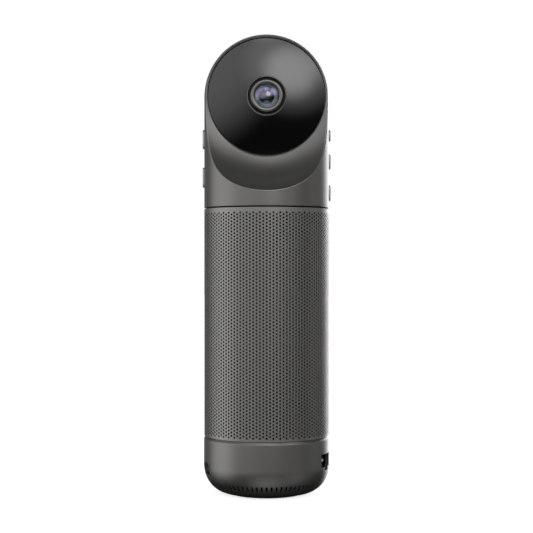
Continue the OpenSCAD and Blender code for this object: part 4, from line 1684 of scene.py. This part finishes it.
    def insert(self) -> None:
        """The brass insert, its thread a ridge wound up its bore."""
        low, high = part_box("tripod_insert")
        root, outer = self.thread_root, high.x
        outline = [(root, low.z), (outer, low.z), (outer, high.z), (root, high.z)]
        outline = rounded(outline, {0: 0.25 * MM, 1: 0.2 * MM})
        sleeve = turned("tripod_insert_sleeve", outline, Axis.TOWER, steps=72)
        start = low.z + 0.1 * MM
        ridge = self.thread(start, int((high.z - start) / self.thread_pitch) - 1)
        insert = smooth(join("tripod_insert_brass", [ridge, sleeve]), 35)
        self.bench.hand_over(insert, BRASS, "column", "brass", "tripod_insert")

    def thread(self, start: float, turns: int) -> Piece:
        """A thread's ridge, wound up the bore by a screw modifier.

        Args:
            start: Height of its lower end.
            turns: How many turns it makes.

        Returns:
            The ridge, closed at both ends.
        """
        root, pitch = self.thread_root + 0.05 * MM, self.thread_pitch
        corners = [
            Vector((root, 0, start)),
            Vector((self.thread_crest, 0, start + pitch / 2 - 0.1 * MM)),
            Vector((self.thread_crest, 0, start + pitch / 2 + 0.1 * MM)),
            Vector((root, 0, start + pitch - 0.02 * MM)),
        ]
        ridge = drawn("tripod_ridge", [*corners, corners[0]])
        with editing(ridge):
            bpy.ops.mesh.remove_doubles(threshold=WELD)
        modify(
            ridge, "SCREW", axis="Z", angle=2 * math.pi, screw_offset=pitch, iterations=turns,
            steps=36, render_steps=36, use_merge_vertices=False,
        )
        with editing(ridge):
            bpy.ops.mesh.select_mode(type="EDGE")
            bpy.ops.mesh.select_all(action="DESELECT")
            bpy.ops.mesh.select_non_manifold()
            bpy.ops.mesh.edge_face_add()
        return weld(ridge)

    def screws(self) -> None:
        """The base's screws, their heads recessed and socketed."""
        low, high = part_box("base_screws")
        neck = low.z + self.screw_head_h
        outline = [
            (0, low.z),
            (self.screw_head_r, low.z),
            (self.screw_head_r, neck),
            (self.screw_shank_r, neck),
            (self.screw_shank_r, high.z - 1 * MM),
            (0, high.z),
        ]
        screw = turned("base_screw", rounded(outline, {1: 0.35 * MM}), Axis.TOWER, steps=32)
        put_down()
        bpy.ops.mesh.primitive_cylinder_add(
            vertices=6, radius=self.screw_socket_r, depth=2 * self.screw_socket_h,
            location=(0, 0, low.z),
        )
        cut(screw, named("screw_socket"))
        joined = smooth(join("base_screws_socketed", copied(screw, self.at_screws())), 35)
        self.bench.hand_over(joined, STEEL, "column", "steel", "base_screws")


@dataclass
class Sockets:
    """The four sockets in the base, and the cutters of their openings."""

    layout: Layout
    bench: Bench
    front: float = 34 * MM
    jack_at: float = -20
    jack_up: float = 9.3 * MM
    jack_mouth: Pair = (12 * MM, 7.5 * MM)
    jack_opening: tuple[Pair, Pair] = ((-7.4 * MM, -3.95 * MM), (6.2 * MM, 3.95 * MM))
    notch_opening: tuple[Pair, Pair] = ((-2.7 * MM, -5.95 * MM), (2.7 * MM, -3 * MM))
    contacts: int = 8
    contact_step: float = 1.02 * MM
    video_at: float = -167
    video_up: float = 3.6 * MM
    video_mouth: Pair = (14.6 * MM, 5 * MM)
    video_opening: tuple[Pair, Pair] = ((-7.7 * MM, -2.9 * MM), (8.9 * MM, 4.2 * MM))
    data_at: float = 130
    data_up: float = 2.2 * MM
    data_mouth: Pair = (8.4 * MM, 2.7 * MM)
    data_opening: Pair = (9 * MM, 3.3 * MM)
    power_at: float = 90
    power_up: float = 5 * MM
    power_opening: float = 6.8 * MM
    power_bore: float = 5.8 * MM
    power_pin: float = 1.8 * MM

    def heights(self) -> dict[str, float]:
        """Height of the middle of each socket's mouth."""
        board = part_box("network_jack")[0].z
        ups = {"jack": self.jack_up, "video": self.video_up, "data": self.data_up, "power": self.power_up}
        return {socket: board + up for socket, up in ups.items()}

    def mouths(self) -> list[Piece]:
        """Models the cutters of the sockets' openings in the base shell.

        Returns:
            A cutter for each opening.
        """
        z = self.heights()
        far = self.layout.base_r + 2 * MM
        near = self.front - 1 * MM
        made = []
        for name, (low, high), edge, matrix in (
            ("jack_cutter", self.jack_opening, 0.3 * MM, round_tower(self.jack_at, z["jack"])),
            ("notch_cutter", self.notch_opening, 0.2 * MM, round_tower(self.jack_at, z["jack"])),
            ("video_cutter", self.video_opening, 0.6 * MM, round_tower(self.video_at, z["video"])),
        ):
            made.append(place(block(name, (near, *low), (far, *high), edge), matrix))
        depth = 12 * MM
        width, height = self.data_opening
        data = pill("data_cutter", height, width, depth, 24)
        power = rod("power_cutter", self.power_opening, depth, 32)
        out = Matrix.Translation((self.layout.base_r, 0, 0))
        place(data, out @ Matrix.Rotation(math.pi / 2, 4, "X"))
        place(power, out)
        made.append(place(data, round_tower(self.data_at, z["data"])))
        made.append(place(power, round_tower(self.power_at, z["power"])))
        return made

    def build(self) -> None:
        """Builds the four sockets."""
        z = self.heights()
        self.network(z["jack"])
        self.video(z["video"])
        self.data(z["data"])
        self.power(z["power"])

    def hollow(self, name: str, size: Pair, skin: float, depth: float, edge: float) -> Piece:
        """A shell round a mouth, its front at the sockets' front.

        Args:
            name: The piece's name.
            size: Width and height of the mouth.
            skin: Thickness of the shell.
            depth: Length of the shell.
            edge: Radius of its edges.

        Returns:
            The shell, on the local +X axis.
        """
        w, h = size[0] / 2, size[1] / 2
        back, front, floor = self.front - depth, self.front, 1 * MM
        shell = block(name, (back, -w - skin, -h - skin), (front, w + skin, h + skin), edge)
        return cut(shell, block(name + "_hole", (back + floor, -w, -h), (front + floor, w, h), edge))

    def network(self, z: float) -> None:
        """The network jack: a black shell with a latch notch, a bar and spring contacts.

        Args:
            z: Height of its mouth's middle.
        """
        front, matrix = self.front, round_tower(self.jack_at, z)
        jack = self.hollow("network_jack_shell", self.jack_mouth, 1.6 * MM, 16 * MM, 0.25 * MM)
        latch_low = (front - 13 * MM, -2.5 * MM, -5 * MM)
        cut(jack, block("latch", latch_low, (front + 1 * MM, 2.5 * MM, -3 * MM)))
        smooth(place(jack, matrix), 35)
        self.bench.hand_over(jack, SOCKET_BLACK, "column", "socket_black", "network_jack")
        bar_low, bar_high = (front - 12 * MM, -6 * MM, -0.8 * MM), (front + 2.6 * MM, -1.6 * MM, 0.8 * MM)
        bar = block("network_jack_bar", bar_low, bar_high, 0.2 * MM)
        smooth(place(bar, matrix), 35)
        self.bench.hand_over(bar, GREY_PLASTIC, "column", "socket_black")
        inner_end, half = front - 11 * MM, 0.18 * MM
        wires = []
        for i in range(self.contacts):
            y = (i - (self.contacts - 1) / 2) * self.contact_step
            low, high = (inner_end, y - half, 2.6 * MM), (front - 3.4 * MM, y + half, 2.9 * MM)
            wire = block(f"contact_{i}", low, high)
            with editing(wire):
                choose(wire, "verts", lambda v: v.co.x < inner_end + WELD)
                bpy.ops.transform.translate(value=(0, 0, -1.2 * MM))
            wires.append(wire)
        contacts = place(join("network_jack_contacts", wires), matrix)
        self.bench.hand_over(contacts, CONTACT_GOLD, "column", "brass")

    def tongue(
        self, name: str, low: Sequence[float], high: Sequence[float], pads: int, matrix: Matrix
    ) -> None:
        """A contact tongue with gold pads on its upper face.

        Args:
            name: The tongue's name.
            low: Its lowest corner.
            high: Its highest corner.
            pads: How many pads it has.
            matrix: The socket's place.
        """
        bar = smooth(place(block(name, low, high, 0.15 * MM), matrix), 35)
        self.bench.hand_over(bar, SOCKET_BLACK, "column", "socket_black")
        step = (high[1] - low[1]) / (pads + 1)
        half, margin = 0.3 * step, 0.5 * MM
        made = []
        for i in range(pads):
            y = low[1] + step * (i + 1)
            pad_low = (low[0] + margin, y - half, high[2] - 0.05 * MM)
            pad_high = (high[0] - margin, y + half, high[2] + 0.06 * MM)
            made.append(block(f"{name}_pad_{i}", pad_low, pad_high))
        gold = place(join(name + "_pads", made), matrix)
        self.bench.hand_over(gold, CONTACT_GOLD, "column", "brass")

    def video(self, z: float) -> None:
        """The video socket: a plated shell round a tongue.

        Args:
            z: Height of its mouth's middle.
        """
        shell = self.hollow("video_socket_shell", self.video_mouth, 0.4 * MM, 11 * MM, 0.3 * MM)
        matrix = round_tower(self.video_at, z)
        smooth(place(shell, matrix), 35)
        self.bench.hand_over(shell, SOCKET_METAL, "column", "socket_metal", "video_socket")
        low = (self.front - 10 * MM, -5.5 * MM, -0.6 * MM)
        self.tongue("video_tongue", low, (self.front - 1.5 * MM, 5.5 * MM, 0.6 * MM), 9, matrix)

    def data(self, z: float) -> None:
        """The data socket: a plated oval shell with a thin tongue.

        Args:
            z: Height of its mouth's middle.
        """
        width, height = self.data_mouth
        depth, skin = 8 * MM, 0.8 * MM
        outer = pill("data_socket_shell", height + skin, width + skin, depth, 32)
        hole = pill("data_hole", height, width, depth, 32)
        cut(outer, place(hole, Matrix.Translation((1 * MM, 0, 0))))
        lie = round_tower(self.data_at, z) @ Matrix.Translation((self.front - depth / 2, 0, 0))
        place(outer, lie @ Matrix.Rotation(math.pi / 2, 4, "X"))
        smooth(outer, 35)
        self.bench.hand_over(outer, SOCKET_METAL, "column", "socket_metal", "usb_socket")
        low, high = (self.front - 7 * MM, -3.2 * MM, -0.35 * MM), (self.front - 1 * MM, 3.2 * MM, 0.35 * MM)
        self.tongue("data_tongue", low, high, 6, round_tower(self.data_at, z))

    def power(self, z: float) -> None:
        """The power socket: a black barrel round a pin.

        Args:
            z: Height of its mouth's middle.
        """
        matrix = round_tower(self.power_at, z)
        half = 4.5 * MM
        low, high = (self.front - 12 * MM, -half, -half), (self.front, half, half)
        body = block("power_socket_body", low, high, 0.4 * MM)
        bore = rod("power_bore", self.power_bore, 22 * MM, 40)
        cut(body, place(bore, Matrix.Translation((self.front + 1 * MM, 0, 0))))
        smooth(place(body, matrix), 35)
        self.bench.hand_over(body, SOCKET_BLACK, "column", "socket_black", "power_socket")
        pin = soften(rod("power_socket_pin", self.power_pin, 8.5 * MM, 24), 0.3 * MM, 3, 60)
        smooth(place(pin, matrix @ Matrix.Translation((self.front - 6 * MM, 0, 0))), 35)
        self.bench.hand_over(pin, STEEL, "column", "steel")


# ---- Works inside --------------------------------------------------------------------


@dataclass
class Works:
    """The CAD nodes that keep their shape and get their finishes."""

    bench: Bench

    def build(self) -> None:
        """Dresses every CAD node that is kept."""
        kept = {
            RUBBER: ("lens_gasket", "speaker_surround", "radiator_surround"),
            DARK_PLASTIC: ("lens_mount", "column_frame", "speaker_box", "sound_deflector"),
            FILTER_GLASS: ("ir_filter",),
            CHIP: ("image_sensor",),
            BOARD: (
                "sensor_board", "vision_board", "left_key_board", "right_key_board", "main_board",
                "mic_board", "port_board",
            ),
            CAST_METAL: ("head_frame", "pan_hub", "speaker_basket"),
            SINK_METAL: ("heat_sink",),
            STEEL: (
                "key_switches", "head_screws", "bearing_inner_race", "bearing_balls",
                "bearing_outer_race", "pan_motor", "frame_screws", "microphones",
            ),
            GROOVE_BLACK: ("head_base_plate", "column_top_plate"),
            GEAR_PLASTIC: ("pan_gear",),
            BRASS: ("motor_pinion",),
            CABLE_JACKET: ("twist_harness",),
            CONE_PAPER: ("speaker_cone", "passive_radiator"),
            COPPER: ("voice_coil",),
            MAGNET_METAL: ("speaker_magnet",),
        }
        for finish, nodes in kept.items():
            for name in nodes:
                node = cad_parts[name]
                for slot in node.material_slots:
                    slot.material = self.bench.palette.material(finish)
                if not node.material_slots:
                    self.bench.palette.dress(node, finish)
                LOG.info("%s: dressed in %s", name, finish.name)


# ---- Studio --------------------------------------------------------------------------


@dataclass(frozen=True)
class Glow:
    """A soft patch of the studio's light, far away.

    Attributes:
        azimuth: Its direction in degrees from the front, towards the viewer's right.
        elevation: Its height above the horizon in degrees.
        inner: Angle from its middle, in degrees, up to which it is full.
        outer: Angle at which it has faded out.
        strength: Its radiance.
    """

    azimuth: float
    elevation: float
    inner: float
    outer: float
    strength: float

    def direction(self) -> Vector:
        """Unit vector towards the patch."""
        a, e = math.radians(self.azimuth), math.radians(self.elevation)
        return Vector((math.sin(a) * math.cos(e), -math.cos(a) * math.cos(e), math.sin(e)))


@dataclass
class Studio:
    """The camera, the floor and the light."""

    distance: float = 0.838
    eye: float = 0.1379
    aside: float = -0.0001
    lens: float = 92.74
    sensor: float = 36
    floor_size: float = 12
    floor_white: float = 0.95
    floor_rough: float = 0.9
    floor_glow: float = 0.75
    glows: tuple[Glow, ...] = (
        Glow(-90, 3, 12, 40, 1.4),
        Glow(-35, 23, 8, 44, 1.05),
        Glow(12, 19, 1, 16, 2.2),
        Glow(13, 22, 4, 27, 1.0),
        Glow(48, 28, 5, 28, 1.7),
        Glow(60, -30, 4, 26, 0.4),
        Glow(98, 5, 5, 26, 0.5),
        Glow(160, 6, 11, 30, 4.3),
        Glow(-160, 0, 5, 24, 0.3),
        Glow(0, 48, 4, 17, 1.7),
        Glow(0, -50, 8, 31, 0.6),
    )

    def build(self) -> None:
        """Sets up the studio."""
        self.camera()
        self.floor()
        self.light()

    def camera(self) -> None:
        """A level camera at the eye's height in front of the tower."""
        data = bpy.data.cameras.new("eye")
        data.lens = self.lens
        data.sensor_width = self.sensor
        camera = bpy.data.objects.new("eye", data)
        camera.location = (self.aside, -self.distance, self.eye)
        camera.rotation_euler = (math.pi / 2, 0, 0)
        bpy.context.scene.collection.objects.link(camera)
        bpy.context.scene.camera = camera

    def floor(self) -> None:
        """A pale floor that takes the tower's shadow and stays out of its reflections."""
        put_down()
        bpy.ops.mesh.primitive_plane_add(size=self.floor_size)
        floor = named("studio_floor")
        material = bpy.data.materials.new("studio_floor")
        material.use_nodes = True
        shader = material.node_tree.nodes["Principled BSDF"]
        shader.inputs["Base Color"].default_value = (*[self.floor_white] * 3, 1)
        shader.inputs["Roughness"].default_value = self.floor_rough
        shader.inputs["Emission Color"].default_value = (1, 1, 1, 1)
        shader.inputs["Emission Strength"].default_value = self.floor_glow
        floor.data.materials.append(material)
        floor.visible_diffuse = False
        floor.visible_glossy = False
        floor.visible_transmission = False

    def light(self) -> None:
        """A world that is white behind the tower and lights it by soft patches."""
        scene = bpy.context.scene
        scene.view_settings.view_transform = "Standard"
        world = bpy.data.worlds.new("studio")
        scene.world = world
        world.use_nodes = True
        graph = Graph(world.node_tree)
        towards = graph.add("ShaderNodeTexCoord").outputs["Generated"]
        total: object = 0.0
        for glow in self.glows:
            total = graph.math("ADD", total, self.patch(graph, towards, glow))
        lit = graph.add("ShaderNodeBackground")
        graph.link(total, lit.inputs["Strength"])
        white = graph.add("ShaderNodeBackground")
        mix = graph.add("ShaderNodeMixShader")
        for socket in (lit.inputs["Color"], white.inputs["Color"]):
            socket.default_value = (1, 1, 1, 1)
        graph.link(graph.add("ShaderNodeLightPath").outputs["Is Camera Ray"], mix.inputs[0])
        graph.link(lit.outputs[0], mix.inputs[1])
        graph.link(white.outputs[0], mix.inputs[2])
        graph.link(mix.outputs[0], graph.add("ShaderNodeOutputWorld").inputs["Surface"])

    @staticmethod
    def patch(graph: Graph, towards: object, glow: Glow) -> NodeSocket:
        """Adds one patch of light to the world's nodes.

        Args:
            graph: The world's graph.
            towards: The direction that light comes from.
            glow: The patch.

        Returns:
            The patch's radiance.
        """
        near = graph.add("ShaderNodeVectorMath", operation="DOT_PRODUCT")
        graph.link(towards, near.inputs[0])
        near.inputs[1].default_value = glow.direction()
        fade = graph.add("ShaderNodeMapRange", interpolation_type="SMOOTHSTEP")
        fade.inputs["From Min"].default_value = math.cos(math.radians(glow.outer))
        fade.inputs["From Max"].default_value = math.cos(math.radians(glow.inner))
        fade.inputs["To Max"].default_value = glow.strength
        graph.link(near.outputs["Value"], fade.inputs["Value"])
        return fade.outputs[0]


def main() -> None:
    """Builds the looks in order."""
    logging.basicConfig(level=logging.INFO, format="%(message)s")
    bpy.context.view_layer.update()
    put_down()
    layout = Layout.read()
    bench = Bench(Palette(Effects(layout.lens_z)))
    Studio().build()
    keys = KeySet(layout, bench)
    HeadShell(layout, bench).build(keys.openings())
    keys.build()
    LensGroup(layout, bench).build()
    Grille(layout, bench).build()
    Sleeve(layout, bench).build()
    sockets = Sockets(layout, bench)
    Base(layout, bench).build(sockets.mouths())
    sockets.build()
    Works(bench).build()


if __name__ == "__main__":
    main()
